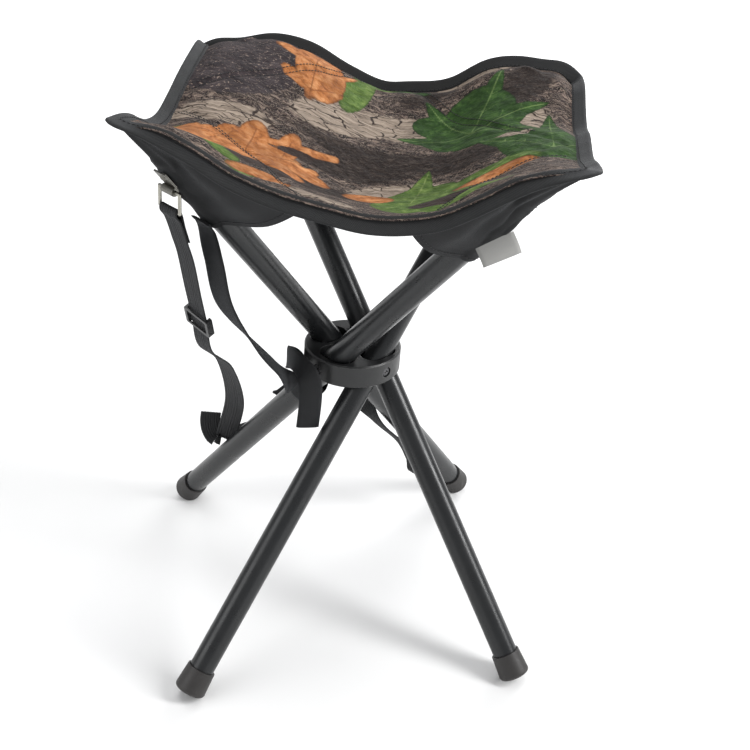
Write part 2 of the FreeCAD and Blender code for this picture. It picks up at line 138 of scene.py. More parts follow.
def catmull(points, per_span):
    """Catmull-Rom curve through the points, per_span steps from each to the next."""
    points = np.asarray(points, float)
    last = len(points) - 1
    curve = []
    for i in range(last):
        before, start = points[max(i - 1, 0)], points[i]
        end, after = points[i + 1], points[min(i + 2, last)]
        for j in range(per_span):
            t = j / per_span
            curve.append((start * 2 + (end - before) * t
                          + (before * 2 - start * 5 + end * 4 - after) * t * t
                          + (start * 3 - before - end * 3 + after) * t ** 3) * 0.5)
    curve.append(points[-1])
    return np.array(curve)


def resample(curve, *others, step):
    """Space curve evenly by length, carry others along, and add the running length."""
    run = np.r_[0, np.cumsum(np.linalg.norm(np.diff(curve, axis=0), axis=1))]
    count = max(4, int(run[-1] / step) + 1)
    even = np.linspace(0, run[-1], count)
    rows = [np.stack([np.interp(even, run, a[:, i]) for i in range(a.shape[1])], 1)
            for a in (curve,) + others]
    return rows + [even]


def smooth_path(path, sigma, hold=10):
    """Gaussian smoothing along a path, faded out over the hold rows at each end."""
    reach = int(3 * sigma) + 1
    kernel = np.exp(-0.5 * (np.arange(-reach, reach + 1) / sigma) ** 2)
    kernel /= kernel.sum()
    padded = np.concatenate([2 * path[0] - path[reach:0:-1], path,
                             2 * path[-1] - path[-2:-reach - 2:-1]])
    blurred = np.stack([np.convolve(padded[:, i], kernel, "valid") for i in range(3)], 1)
    rows = np.arange(len(path))
    weight = smooth01(np.minimum(rows, rows[::-1]) / float(hold))[:, None]
    return path * (1 - weight) + blurred * weight


def hermite(stations, t):
    """Smooth curve through stations of (parameter, x, y, z)."""
    stations = np.asarray(stations, float)
    knots, places = stations[:, 0], stations[:, 1:]
    slopes = np.gradient(places, knots, axis=0)
    t = np.clip(t, -1, 1)
    i = np.clip(np.searchsorted(knots, t, side="right") - 1, 0, len(knots) - 2)
    span = (knots[i + 1] - knots[i])[..., None]
    u = ((t - knots[i]) / span[..., 0])[..., None]
    return ((2 * u ** 3 - 3 * u ** 2 + 1) * places[i]
            + (u ** 3 - 2 * u ** 2 + u) * span * slopes[i]
            + (-2 * u ** 3 + 3 * u ** 2) * places[i + 1] + (u ** 3 - u ** 2) * span * slopes[i + 1])


# --------------------------------------------------------------- mesh building
def add_mesh(name, verts, faces, mat, attrs, rims=()):
    """Smooth-shaded mesh with point attributes; edges within a rim are marked sharp."""
    mesh = bpy.data.meshes.new(name)
    mesh.from_pydata([tuple(v) for v in np.asarray(verts, float) * MM], [],
                     [tuple(f) for f in faces])
    mesh.validate()
    mesh.polygons.foreach_set("use_smooth", [True] * len(mesh.polygons))
    for key, values in attrs.items():
        values = np.asarray(values, np.float32)
        if values.ndim == 2:
            layer = mesh.attributes.new(key, "FLOAT_VECTOR", "POINT")
            layer.data.foreach_set("vector", values.ravel())
        else:
            layer = mesh.attributes.new(key, "FLOAT", "POINT")
            layer.data.foreach_set("value", values)
    if rims:
        ends = np.zeros(len(mesh.edges) * 2, np.int64)
        mesh.edges.foreach_get("vertices", ends)
        ends = ends.reshape(-1, 2)
        tag = np.zeros(len(mesh.vertices), np.int64)
        for i, rim in enumerate(rims):
            tag[rim] = i + 1
        sharp = (tag[ends[:, 0]] == tag[ends[:, 1]]) & (tag[ends[:, 0]] > 0)
        layer = (mesh.attributes.get("sharp_edge")
                 or mesh.attributes.new("sharp_edge", "BOOLEAN", "EDGE"))
        layer.data.foreach_set("value", sharp)
    mesh.materials.append(mat)
    mesh.update()
    return link_new(name, mesh)


def link_new(name, data):
    ob = bpy.data.objects.new(name, data)
    bpy.context.scene.collection.objects.link(ob)
    return ob


def grid_normals(grid):
    normals = np.cross(np.gradient(grid, axis=0), np.gradient(grid, axis=1))
    return normals / np.maximum(np.linalg.norm(normals, axis=2, keepdims=True), 1e-9)


def slab(name, grid, thick, mat, attrs, flip):
    """Closed sheet: a grid of points given thickness along its own normals."""
    n, m = grid.shape[:2]
    normals = grid_normals(grid)
    if flip:
        normals = -normals
    thick = np.broadcast_to(np.asarray(thick, float), (n, m))[..., None]
    top, under = grid + normals * thick * 0.5, grid - normals * thick * 0.5
    verts = np.concatenate([top.reshape(-1, 3), under.reshape(-1, 3)])
    idx = np.arange(n * m).reshape(n, m)
    quad = [part.ravel() for part in (idx[:-1, :-1], idx[1:, :-1], idx[1:, 1:], idx[:-1, 1:])]
    top_faces = np.stack(quad, 1)
    under_faces = np.stack([quad[0], quad[3], quad[2], quad[1]], 1) + n * m
    rim = np.concatenate([idx[:, 0], idx[-1, 1:], idx[-2::-1, -1], idx[0, -2:0:-1]])
    ahead = np.roll(rim, -1)
    sides = np.stack([ahead, rim, rim + n * m, ahead + n * m], 1)
    faces = np.concatenate([top_faces, under_faces, sides])
    if flip:
        faces = faces[:, ::-1]
    both = {}
    for key, values in attrs.items():
        flat = values.reshape(n * m, *values.shape[2:])
        both[key] = np.concatenate([flat, flat])
    both["under"] = np.repeat([0.0, 1.0], n * m)
    return add_mesh(name, verts, faces.tolist(), mat, both, rims=[rim, rim + n * m])


def loft(name, rings, pat, mat):
    """Closed tube through rings of points, capped at both ends, faces outward."""
    first = rings[0, 0]
    facing = np.cross(rings[1, 0] - first, rings[0, 1] - first)
    if facing @ (first - rings[0].mean(0)) > 0:
        rings, pat = rings[:, ::-1], pat[:, ::-1]
    n, m = rings.shape[:2]
    idx = np.arange(n * m).reshape(n, m)
    a, b = idx[:-1], idx[1:]
    faces = np.stack([a, b, np.roll(b, -1, 1), np.roll(a, -1, 1)], -1).reshape(-1, 4).tolist()
    faces.append(idx[0].tolist())
    faces.append(idx[-1][::-1].tolist())
    return add_mesh(name, rings.reshape(-1, 3), faces, mat, {"pat": pat.reshape(n * m, 3)},
                    rims=[idx[0], idx[-1]])


# -------------------------------------------------------------- material graphs
def rgba(color):
    return color if isinstance(color, bpy.types.NodeSocket) else (*color, 1.0)


class Graph:
    """Short calls that add shader nodes to a tree and return their output sockets."""

    def __init__(self, tree, target="Principled BSDF"):
        self.tree = tree
        self.target = tree.nodes[target]

    def feed(self, socket, value):
        if isinstance(value, bpy.types.NodeSocket):
            self.tree.links.new(value, socket)
        else:
            socket.default_value = value

    def set(self, **inputs):
        """Set or link inputs of the target node; underscores stand for spaces."""
        for key, value in inputs.items():
            self.feed(self.target.inputs[key.replace("_", " ")], value)

    def node(self, kind, ins=None, **props):
        node = self.tree.nodes.new("ShaderNode" + kind)
        for key, value in props.items():
            setattr(node, key, value)
        for key, value in (ins or {}).items():
            self.feed(node.inputs[key], value)
        return node

    def coords(self):
        return self.node("TexCoord").outputs["Object"]

    def attribute(self, name, output="Fac"):
        node = self.node("Attribute", attribute_type="GEOMETRY", attribute_name=name)
        return node.outputs[output]

    def math(self, op, a, b=0.0, c=0.0, clamp=False):
        return self.node("Math", {0: a, 1: b, 2: c}, operation=op, use_clamp=clamp).outputs[0]

    def mul(self, a, b):
        return self.math("MULTIPLY", a, b)

    def add(self, a, b):
        return self.math("ADD", a, b)

    def mul_add(self, a, b, c, clamp=False):
        return self.math("MULTIPLY_ADD", a, b, c, clamp)

    def vector(self, op, a, b):
        return self.node("VectorMath", {0: a, 1: b}, operation=op)

    def stretch(self, vec, factors):
        return self.vector("MULTIPLY", vec, factors).outputs[0]

    def shift(self, vec, offset):
        return self.vector("ADD", vec, offset).outputs[0]

    def ramp(self, fac, *stops):
        """Colour ramp; each stop is (position, colour)."""
        node = self.node("ValToRGB", {0: fac})
        elements = node.color_ramp.elements
        while len(elements) < len(stops):
            elements.new(0.5)
        for element, (position, color) in zip(elements, stops):
            element.position = position
            element.color = rgba(color)
        return node.outputs[0]

    def mix(self, fac, a, b, mode="MIX"):
        node = self.node("Mix", {0: fac, 6: rgba(a), 7: rgba(b)}, data_type="RGBA", blend_type=mode)
        return node.outputs[2]

    def noise(self, vec, scale, detail=3.0, rough=0.55, dist=0.0):
        return self.node("TexNoise", {"Vector": vec, "Scale": scale, "Detail": detail,
                                      "Roughness": rough, "Distortion": dist}).outputs[0]

    def crack(self, vec, scale):
        """Distance to the nearest cell border."""
        node = self.node("TexVoronoi", {"Vector": vec, "Scale": scale},
                         feature="DISTANCE_TO_EDGE")
        return node.outputs["Distance"]

    def remap(self, x, lo, hi, out_lo=0.0, out_hi=1.0, **props):
        return self.node("MapRange", {0: x, 1: lo, 2: hi, 3: out_lo, 4: out_hi},
                         **props).outputs[0]

    def step(self, x, lo, hi):
        """Smooth step, 0 at lo and 1 at hi; lo may be above hi."""
        return self.remap(x, lo, hi, interpolation_type="SMOOTHSTEP", clamp=True)

    def bump(self, height, strength, dist, normal=None):
        ins = {"Height": height, "Strength": strength, "Distance": dist}
        if normal is not None:
            ins["Normal"] = normal
        return self.node("Bump", ins).outputs[0]

    def bevel(self, radius):
        return self.node("Bevel", {"Radius": radius}, samples=4).outputs[0]

    def wave(self, x, rate, phase=0.0):
        """Sine wave between 0 and 1."""
        return self.mul_add(self.math("SINE", self.mul_add(x, rate, phase)), 0.5, 0.5)

    def axes(self, vec):
        return self.node("SeparateXYZ", {0: vec}).outputs[:2]

    def plain_weave(self, u, v, rate):
        """Over-and-under weave height."""
        return self.math("MAXIMUM", self.mul(self.wave(u, rate), self.wave(v, rate)),
                         self.mul(self.wave(u, rate, math.pi), self.wave(v, rate, math.pi)))


def new_material(name):
    mat = bpy.data.materials.new(name)
    mat.use_nodes = True
    return mat, Graph(mat.node_tree)


def hard_surface(name, base, var, rough, metallic=0.0, grain=2500.0, grain_str=0.12, streak=None,
                 coat=0.0, edge=None, bevel=0.0, wear=None):
    """Paint, plastic or metal.

    base and var: colour and its spread; grain: scale of the fine bump;
    streak: (stretch of the streak noise, how much lighter); edge: (colour, amount) of lighter
    edges, rubbed wear and on the hub a painted highlight along its rims; bevel: rounding radius
    in metres; wear: roughness added in patches.
    """
    mat, g = new_material(name)
    co = g.coords()
    fine = g.noise(co, scale=grain, detail=2.0)
    col = g.mix(g.noise(co, scale=18.0, detail=4.0),
                tuple(max(0, c - v) for c, v in zip(base, var)),
                tuple(c + v for c, v in zip(base, var)))
    if streak:
        stretch, lighter = streak
        lines = g.noise(g.stretch(co, stretch), scale=1.0, detail=4.0, rough=0.7)
        col = g.mix(g.step(lines, lo=0.55, hi=0.8), col, tuple(c + lighter for c in base))
    if edge:
        # edges painted lighter in patches: rubbed wear, and on the hub a painted highlight along
        # its rims
        edge_wear_and_highlight_color, amount = edge
        rounded = g.bevel(0.0009)
        facing = g.node("NewGeometry").outputs["Normal"]
        dot = g.vector("DOT_PRODUCT", rounded, facing).outputs["Value"]
        edge_wear_and_highlight = g.mul(g.step(dot, lo=0.985, hi=0.90),
                     g.step(g.noise(co, scale=260.0, detail=3.0), lo=0.35, hi=0.6))
        col = g.mix(g.mul(edge_wear_and_highlight, amount), col, edge_wear_and_highlight_color)
    roughness = g.remap(g.noise(co, scale=55.0, detail=5.0, rough=0.65), lo=0.3, hi=0.7,
                        out_lo=rough - 0.07, out_hi=rough + 0.09)
    if wear:
        patches = g.noise(co, scale=120.0, detail=6.0, rough=0.75)
        roughness = g.add(roughness, g.mul(g.step(patches, lo=0.58, hi=0.66), wear))
    normal = g.bevel(bevel) if bevel else None
    g.set(Base_Color=col, Roughness=roughness, Metallic=metallic, Coat_Weight=coat,
          Coat_Roughness=0.25, Normal=g.bump(fine, grain_str, dist=0.00025, normal=normal))
    return mat


def weave_height(g, pat, kind, pitch):
    """Height of a thread pattern with the given pitch in millimetres."""
    if kind == "fuzz":
        return g.noise(pat, scale=1.6, detail=6.0, rough=0.8)
    u, v = g.axes(pat)
    rate = TAU / pitch
    if kind == "plain":
        return g.plain_weave(u, v, rate)
    if kind == "rib":
        # cords along the strip, crossed by small chevrons
        zigzag = g.math("ABSOLUTE", g.math("SINE", g.mul(u, rate / 2)))
        chevron = g.add(v, g.mul(zigzag, 0.8))
        return g.mul(g.math("POWER", g.wave(u, rate), 0.6),
                     g.mul_add(g.wave(chevron, TAU / 1.1), 0.5, 0.5))
    # twill: diagonal cords, weakly crossed by the other diagonal
    cross = g.wave(g.math("SUBTRACT", u, v), rate * 1.6)
    return g.mul(g.math("POWER", g.wave(g.add(u, v), rate), 0.7), g.mul_add(cross, 0.35, 0.65))


def weave(name, base, light, pitch, kind, rough, sheen, fuzz=0.0, bump_str=0.6):
    """Cloth, tape and webbing. Attribute pat holds millimetres across and along the strip."""
    mat, g = new_material(name)
    pat = g.attribute("pat", "Vector")
    height = weave_height(g, pat, kind, pitch)
    big = g.noise(pat, scale=0.055, detail=4.0)
    fine = g.noise(pat, scale=3.0, detail=2.0)
    col = g.mix(g.mul_add(height, 0.6, g.mul(big, 0.35), clamp=True), base, light)
    specks = g.step(g.noise(pat, scale=0.35, detail=5.0, rough=0.7), lo=0.6, hi=0.8)
    col = g.mix(g.mul(specks, 0.2), col, tuple(c * 2.2 + 0.004 for c in light))
    relief = g.add(g.mul(height, 1.0), g.mul(fine, 0.3 + fuzz))
    g.set(Base_Color=col,
          Roughness=g.remap(fine, lo=0.2, hi=0.8, out_lo=rough - 0.1, out_hi=min(1.0, rough + 0.1)),
          Sheen_Weight=sheen, Sheen_Roughness=0.45, Sheen_Tint=(0.75, 0.78, 0.85, 1),
          Specular_IOR_Level=0.35, Normal=g.bump(relief, bump_str, dist=0.00045))
    return mat


# ------------------------------------------------------------------- materials
M_TUBE = hard_surface("tube_paint", (0.014, 0.015, 0.016), (0.004, 0.004, 0.004), rough=0.30,
                      metallic=0.3, grain=2200.0, grain_str=0.10,
                      streak=((60.0, 60.0, 9.0), 0.010), coat=0.10, wear=0.03)
# the hub's lighter edges are a painted highlight along its rims
M_HUB = hard_surface("hub_nylon", (0.011, 0.0115, 0.012), (0.003, 0.003, 0.003), rough=0.40,
                     grain=1800.0, grain_str=0.2, edge=((0.16, 0.16, 0.155), 0.55),
                     bevel=0.0007, wear=0.1)
M_FOOT = hard_surface("foot_moulding", (0.022, 0.020, 0.019), (0.007, 0.006, 0.006), rough=0.52,
                      grain=1500.0, grain_str=0.3, streak=((160.0, 160.0, 26.0), 0.03),
                      bevel=0.0008, wear=0.12)
M_PLUG = hard_surface("plug_plastic", (0.022, 0.022, 0.022), (0.006, 0.006, 0.006), rough=0.5,
                      grain=1500.0, grain_str=0.25)
M_SCREW = hard_surface("screw_black_oxide", (0.075, 0.075, 0.08), (0.02, 0.02, 0.02), rough=0.34,
                       metallic=0.9, grain=3000.0, grain_str=0.2, edge=((0.42, 0.41, 0.40), 0.6))
M_RING = hard_surface("ring_pale_brass", (0.34, 0.33, 0.29), (0.05, 0.05, 0.05), rough=0.26,
                      metallic=1.0, grain_str=0.15, wear=0.2)
M_BRACKET = hard_surface("bracket_plated", (0.16, 0.155, 0.14), (0.04, 0.04, 0.04), rough=0.36,
                         metallic=1.0, grain_str=0.2, edge=((0.42, 0.40, 0.36), 0.6), wear=0.2)
M_SLIDER = hard_surface("slider_acetal", (0.018, 0.018, 0.019), (0.004, 0.004, 0.004), rough=0.30,
                        grain=1200.0, edge=((0.12, 0.12, 0.12), 0.6), bevel=0.0006)
M_BIND = weave("binding_tape", (0.003, 0.003, 0.003), (0.022, 0.023, 0.024), pitch=1.5,
               kind="twill", rough=0.78, sheen=0.07)
M_POCKET = weave("pocket_canvas", (0.003, 0.003, 0.0035), (0.010, 0.0105, 0.011), pitch=0.9,
                 kind="plain", rough=0.82, sheen=0.05, bump_str=0.4)
M_WEB = weave("ribbed_webbing", (0.003, 0.003, 0.0035), (0.019, 0.020, 0.021), pitch=2.2,
              kind="rib", rough=0.72, sheen=0.06, bump_str=0.9)
M_TIE = weave("hook_and_loop", (0.003, 0.003, 0.0035), (0.016, 0.017, 0.018), pitch=1.0,
              kind="fuzz", rough=0.95, sheen=0.12, fuzz=0.8, bump_str=1.0)
M_THREAD = weave("sewing_thread", (0.004, 0.004, 0.004), (0.02, 0.02, 0.021), pitch=0.5,
                 kind="twill", rough=0.6, sheen=0.06)
M_LABEL = weave("blank_label", (0.24, 0.24, 0.23), (0.34, 0.335, 0.32), pitch=0.7,
                kind="plain", rough=0.7, sheen=0.2, bump_str=0.25)

# leaf field: dark, middle, pale and vein colours, painted in this order
LEAF_COLORS = {
    "f_dgreen": ((0.010, 0.026, 0.007), (0.022, 0.055, 0.012), (0.050, 0.105, 0.024),
                 (0.17, 0.25, 0.085)),
    "f_green": ((0.028, 0.060, 0.012), (0.075, 0.130, 0.026), (0.165, 0.235, 0.062),
                (0.24, 0.30, 0.10)),
    "f_orange": ((0.120, 0.040, 0.014), (0.36, 0.130, 0.040), (0.56, 0.27, 0.115),
                 (0.12, 0.036, 0.012)),
}
PRINT_WEAVE_PITCH = 0.95  # mm


def bark_layer(g, warped):
    """Bark ground: streaks across the seat, dark cracks, pale flecks, dark patches."""
    streaks = g.noise(g.stretch(warped, (0.55, 2.3, 1.0)), scale=1.3, detail=7.0, rough=0.68,
                      dist=0.6)
    grain = g.noise(g.stretch(warped, (1.4, 4.2, 1.0)), scale=1.8, detail=5.0, rough=0.7)
    bark = g.ramp(streaks, (0.34, (0.010, 0.007, 0.007)), (0.49, (0.026, 0.018, 0.018)),
                  (0.55, (0.105, 0.076, 0.064)), (0.63, (0.215, 0.162, 0.130)),
                  (0.74, (0.040, 0.029, 0.027)))
    cracks = g.crack(g.stretch(warped, (0.8, 2.0, 1.0)), scale=1.35)
    bark = g.mix(g.step(cracks, lo=0.075, hi=0.02), bark, (0.008, 0.006, 0.006))
    fleck = g.noise(g.stretch(warped, (2.4, 6.5, 1.0)), scale=2.2, detail=4.0, rough=0.75)
    bark = g.mix(g.mul(g.step(fleck, lo=0.555, hi=0.60), 0.85), bark, (0.30, 0.235, 0.185))
    bark = g.mix(g.mul(g.step(grain, lo=0.585, hi=0.64), 0.8), bark, (0.24, 0.19, 0.155))
    dark = g.noise(g.stretch(warped, (0.5, 1.6, 1.0)), scale=3.6, detail=4.0, rough=0.7)
    return g.mix(g.step(dark, lo=0.44, hi=0.36), bark, (0.010, 0.008, 0.008))


def wood_layer(g, warped):
    """Smooth tan wood with branching cracks."""
    grain = g.noise(g.stretch(warped, (0.4, 2.6, 1.0)), scale=1.1, detail=5.0, rough=0.6)
    wood = g.ramp(grain, (0.3, (0.105, 0.082, 0.066)), (0.5, (0.25, 0.200, 0.158)),
                  (0.72, (0.36, 0.295, 0.235)))
    cracks = g.crack(g.stretch(warped, (0.42, 1.5, 1.0)), scale=1.1)
    return g.mix(g.step(cracks, lo=0.05, hi=0.018), wood, (0.030, 0.021, 0.018))


def trunk_layer(g, warped):
    """Dark trunk with pale flecks."""
    trunk = g.ramp(g.noise(warped, scale=0.5, detail=6.0, rough=0.6),
                   (0.35, (0.014, 0.011, 0.013)), (0.65, (0.048, 0.037, 0.039)))
    fleck = g.noise(g.stretch(warped, (1.2, 2.2, 1.0)), scale=2.2, detail=4.0, rough=0.75)
    return g.mix(g.step(fleck, lo=0.58, hi=0.63), trunk, (0.26, 0.20, 0.165))


def leaf_layer(g, key, inside, vein, cm, edge_rag):
    """One leaf colour: mottled, with veins, darker blotches and a dark rim."""
    dark, middle, pale, vein_color = LEAF_COLORS[key]
    leaf = g.ramp(inside, (0.30, dark), (0.48, middle), (0.68, pale))
    leaf = g.mix(g.mul(g.step(vein, lo=1.0, hi=0.3), 0.6), leaf, vein_color)
    blotch = g.step(g.noise(cm, scale=0.42, detail=3.0), lo=0.40, hi=0.62)
    leaf = g.mix(g.mul(blotch, 0.5), leaf, tuple(c * 0.45 for c in middle))
    rim = g.step(g.add(g.attribute(key), edge_rag), lo=-1.6, hi=-0.2)
    return g.mix(g.mul(rim, 0.55), leaf, tuple(c * 0.35 for c in dark))


def printed_canvas():
    """Seat cloth: bark ground, shapes from the f_ distance attributes, faint weave."""
    mat, g = new_material("woodland_print")
    pat = g.attribute("pat", "Vector")
    cm = g.stretch(pat, (0.1, 0.1, 0.1))
    wobble = g.node("TexNoise", {"Vector": cm, "Scale": 0.55, "Detail": 3.0}).outputs["Color"]
    warp = g.stretch(g.shift(wobble, (-0.5, -0.5, -0.5)), (1.7, 1.7, 0.0))
    warped = g.shift(cm, warp)
    bark, wood, trunk = bark_layer(g, warped), wood_layer(g, warped), trunk_layer(g, warped)

    # rag: millimetres by which outlines are made uneven
    rag = g.mul(g.math("SUBTRACT", g.noise(cm, scale=2.2, detail=5.0, rough=0.7), 0.5), 7.0)
    edge_rag = g.mul(rag, 0.45)

    def mask(field, ragged=edge_rag, soft=0.5):
        return g.step(g.add(g.attribute(field), ragged), lo=soft, hi=-soft)

    col = g.mix(mask("f_wood", g.mul(rag, 1.6), soft=1.2), bark, wood)
    col = g.mix(mask("f_trunk", g.mul(rag, 1.2), soft=1.0), col, trunk)
    shade = mask("f_shadow", g.mul(rag, 1.0), soft=4.0)
    col = g.mix(g.mul(shade, 0.8), col, (0.014, 0.010, 0.009))
    vein = g.attribute("f_vein")
    inside = g.noise(warped, scale=1.2, detail=5.0, rough=0.65)
    for key in LEAF_COLORS:
        leaf = leaf_layer(g, key, inside, vein, cm, edge_rag)
        col = g.mix(mask(key), col, leaf)
    col = g.mix(mask("f_hole"), col, (0.030, 0.020, 0.017))

    # darker between threads, uneven threads, black underside
    threads = g.plain_weave(*g.axes(pat), TAU / PRINT_WEAVE_PITCH)
    col = g.mix(g.mul_add(threads, -0.22, 0.22), col, (0.0, 0.0, 0.0))
    slub = g.noise(g.stretch(pat, (0.25, 3.0, 1.0)), scale=1.0, detail=3.0)
    col = g.mix(0.10, col, slub, "OVERLAY")
    back = g.ramp(g.noise(pat, scale=1.5, detail=3.0), (0.3, (0.010, 0.010, 0.010)),
                  (0.7, (0.022, 0.021, 0.021)))
    col = g.mix(g.step(g.attribute("under"), lo=0.35, hi=0.65), col, back)
    crumple = g.noise(g.stretch(pat, (0.05, 0.05, 0.05)), scale=1.6, detail=4.0, rough=0.55)
    creased = g.bump(crumple, strength=0.9, dist=0.0055)
    g.set(Base_Color=col, Roughness=g.remap(slub, lo=0.3, hi=0.7, out_lo=0.74, out_hi=0.92),
          Sheen_Weight=0.02, Sheen_Roughness=0.4, Specular_IOR_Level=0.13,
          Normal=g.bump(threads, strength=0.35, dist=0.0003, normal=creased))
    return mat


M_PRINT = printed_canvas()

# -------------------------------------------------------------- seat: outlines
FL, FR, BR, BL = (-163, -153, 510), (172, -156, 511), (171, 151, 479), (-170, 151, 472)
# outer edge of the binding in the seat frame: parameter along the edge, x, y, z
OUTLINE = {
    "front": [(-1,) + FL, (-.82, -133, -157, 501), (-.64, -102, -158, 487),
              (-.48, -77, -158, 473), (-.34, -54, -158, 464.5), (-.05, -8, -158, 454.5),
              (.125, 20, -158, 450.5), (.29, 46, -158, 452.5), (.45, 72, -158, 459.5),
              (.6, 96, -158, 473.5), (.76, 121, -158, 490), (.9, 149, -158, 504), (1,) + FR],
    "back": [(-1,) + BL, (-.93, -158, 152, 478), (-.84, -138, 152, 481), (-.64, -102, 152, 489),
             (-.46, -72, 152, 485), (-.23, -36, 151, 468), (0, 0, 151, 456), (.13, 20, 151, 458),
             (.36, 57, 151, 465), (.56, 89, 152, 485), (.68, 107, 153, 489.5),
             (.86, 138, 153, 489), (.96, 162, 152, 486), (1,) + BR],
    "left": [(-1,) + FL, (-.78, -159, -121, 504), (-.52, -157, -80, 485), (-.29, -157, -45, 478),
             (-.08, -157, -13, 482), (.14, -157, 21, 489), (.4, -158, 62, 493),
             (.68, -162, 105, 490), (.9, -168, 137, 479), (1,) + BL],
    "right": [(-1,) + FR, (-.85, 174, -132, 505), (-.68, 174, -105, 498), (-.4, 174, -62, 485),
              (0, 174, 3, 479), (.34, 174, 52, 470), (.5, 173, 77, 475), (.72, 172, 110, 483),
              (1,) + BR],
}
# offsets from the outer to the inner edge of the binding: corners, then mid, first, last
FL_INSET, FR_INSET = (8.5, 7, -1.5), (-9.5, 7, -1.5)
BL_INSET, BR_INSET = (8, -5, -7), (-8, -5, -7)
INSET = {"front": ((0, 7, 9.0), FL_INSET, FR_INSET), "back": ((0, -4.5, -8.0), BL_INSET, BR_INSET),
         "left": ((8.5, 0, -4.5), FL_INSET, BL_INSET),
         "right": ((-9.5, 0, -4.0), FR_INSET, BR_INSET)}
OVERRUN_SCALE = 157  # mm per unit of a or b past the visible edge
CENTRE_Z = 443.5
# rings on a tube's top: radius, height from the top
TUBE_TOP_RINGS = ((0.0, 0.0), (8.5, 0.0), (10.5, -0.8))


def outer(edge, t):
    return hermite(OUTLINE[edge], t)


def inner(edge, t):
    middle, first, last = (np.array(offset, float) for offset in INSET[edge])
    near_first = smooth01((-t - 0.72) / 0.28)[..., None]
    near_last = smooth01((t - 0.72) / 0.28)[..., None]
    return (outer(edge, t) + middle * (1 - near_first - near_last)
            + first * near_first + last * near_last)


def tube_top_need(x, y):
    """Height the cloth must clear above the four tube tops, in the seat frame."""
    need = np.full(x.shape, -1e9)
    for leg in LEGS.values():
        for radius, height in TUBE_TOP_RINGS:
            for a in np.linspace(0, TAU, 16, endpoint=False):
                top = to_seat(leg.pivot + leg.along * (TUBE_TOP + height)
                              + leg.hinge * radius * math.cos(a)
                              + leg.normal * radius * math.sin(a))
                d = np.hypot(x - top[0], y - top[1])
                need = np.maximum(need, top[2] + 1.3 - 0.75 * np.maximum(d - 1.5, 0)
                                  - 0.004 * d * d)
    return need


def fold_height(a, b, inside):
    """Slack folds fanned round each corner, and soft ones across the sling."""
    z = 0.0
    for number, corner in CORNERS.items():
        da, db = 1 - corner.x_sign * a, 1 - corner.y_sign * b
        r = np.hypot(da, db)
        angle = np.arctan2(db, da)
        z = z + (2.3 * np.exp(-((r - 0.62) / 0.36) ** 2)
                 * np.sin(9.0 * angle + 1.3 * number + 2.0 * np.sin(2.4 * r + number))
                 * smooth01((r - 0.12) / 0.2) * inside ** 0.25)
    z = z + 1.1 * np.sin(5.1 * a + 2.3 * b + 0.6 * np.sin(4 * b)) * inside
    return z + 0.8 * np.sin(-3.3 * a + 7.7 * b + 1.1) * inside


def seam_height(a, b, inside):
    """Cloth pulled down a little along the sewn seams, with a low ridge beside them."""
    fade = smooth01(inside / 0.1)
    z = 0.0
    for corner in CORNERS.values():
        path = catmull(corner.seam, 12)
        d = np.full(a.shape, 9.0)
        for start, end in zip(path[:-1], path[1:]):
            d = np.minimum(d, segment(a, b, *start, *end))
        z = z - 1.3 * np.exp(-(d / 0.022) ** 2) * fade
        z = z + 0.5 * np.exp(-((d - 0.06) / 0.03) ** 2) * fade
    return z


def segment(x, y, ax, ay, bx, by):
    """Distance to a line segment."""
    ex, ey = bx - ax, by - ay
    t = np.clip(((x - ax) * ex + (y - ay) * ey) / (ex * ex + ey * ey + 1e-9), 0, 1)
    return np.hypot(x - ax - t * ex, y - ay - t * ey)


def lifted_seat(a, b, centre_lift):
    """Cloth stretched between the four inner edges, its middle raised by centre_lift."""
    in_a, in_b = np.clip(a, -1, 1), np.clip(b, -1, 1)
    u, v = ((in_a + 1) / 2)[..., None], ((in_b + 1) / 2)[..., None]
    ends = np.array([-1.0, 1.0])
    front_left, front_right = inner("front", ends)
    back_left, back_right = inner("back", ends)
    sheet = ((1 - v) * inner("front", in_a) + v * inner("back", in_a)
             + (1 - u) * inner("left", in_b) + u * inner("right", in_b)
             - ((1 - u) * (1 - v) * front_left + u * (1 - v) * front_right
                + (1 - u) * v * back_left + u * v * back_right))
    x, y, z = sheet[..., 0], sheet[..., 1], sheet[..., 2]
    inside = (1 - in_a ** 2) * (1 - in_b ** 2)  # 1 in the middle, 0 on the edges
    z = z + centre_lift * inside ** 1.5
    z = z + fold_height(in_a, in_b, inside) + seam_height(in_a, in_b, inside)
    # rest on the tube tops, with a soft join
    need = tube_top_need(x, y)
    soft = 2.5
    high = np.maximum(z, need)
    z = high + (soft * np.log(np.exp(-(high - z) / soft) + np.exp(-(high - need) / soft))
                * smooth01(inside / 0.12))
    # run on under the binding, past the visible edge
    x = x + np.sign(a) * (np.abs(a) - 1).clip(0) * OVERRUN_SCALE
    y = y + np.sign(b) * (np.abs(b) - 1).clip(0) * OVERRUN_SCALE
    return np.stack([x, y, z], -1)


CENTRE_LIFT = CENTRE_Z - lifted_seat(np.zeros(1), np.zeros(1), 0.0)[0, 2]


def seat_surface(a, b):
    """Seat cloth over a (left to right) and b (front to back), -1 to 1, in the seat frame."""
    return lifted_seat(a, b, CENTRE_LIFT)


# ------------------------------------------------------- printed pattern fields
# Signed distances in mm, negative inside a shape; f_vein is the distance to a leaf vein.
FIELDS = ("f_orange", "f_green", "f_dgreen", "f_wood", "f_trunk", "f_hole", "f_shadow", "f_vein")
FAR = 60.0
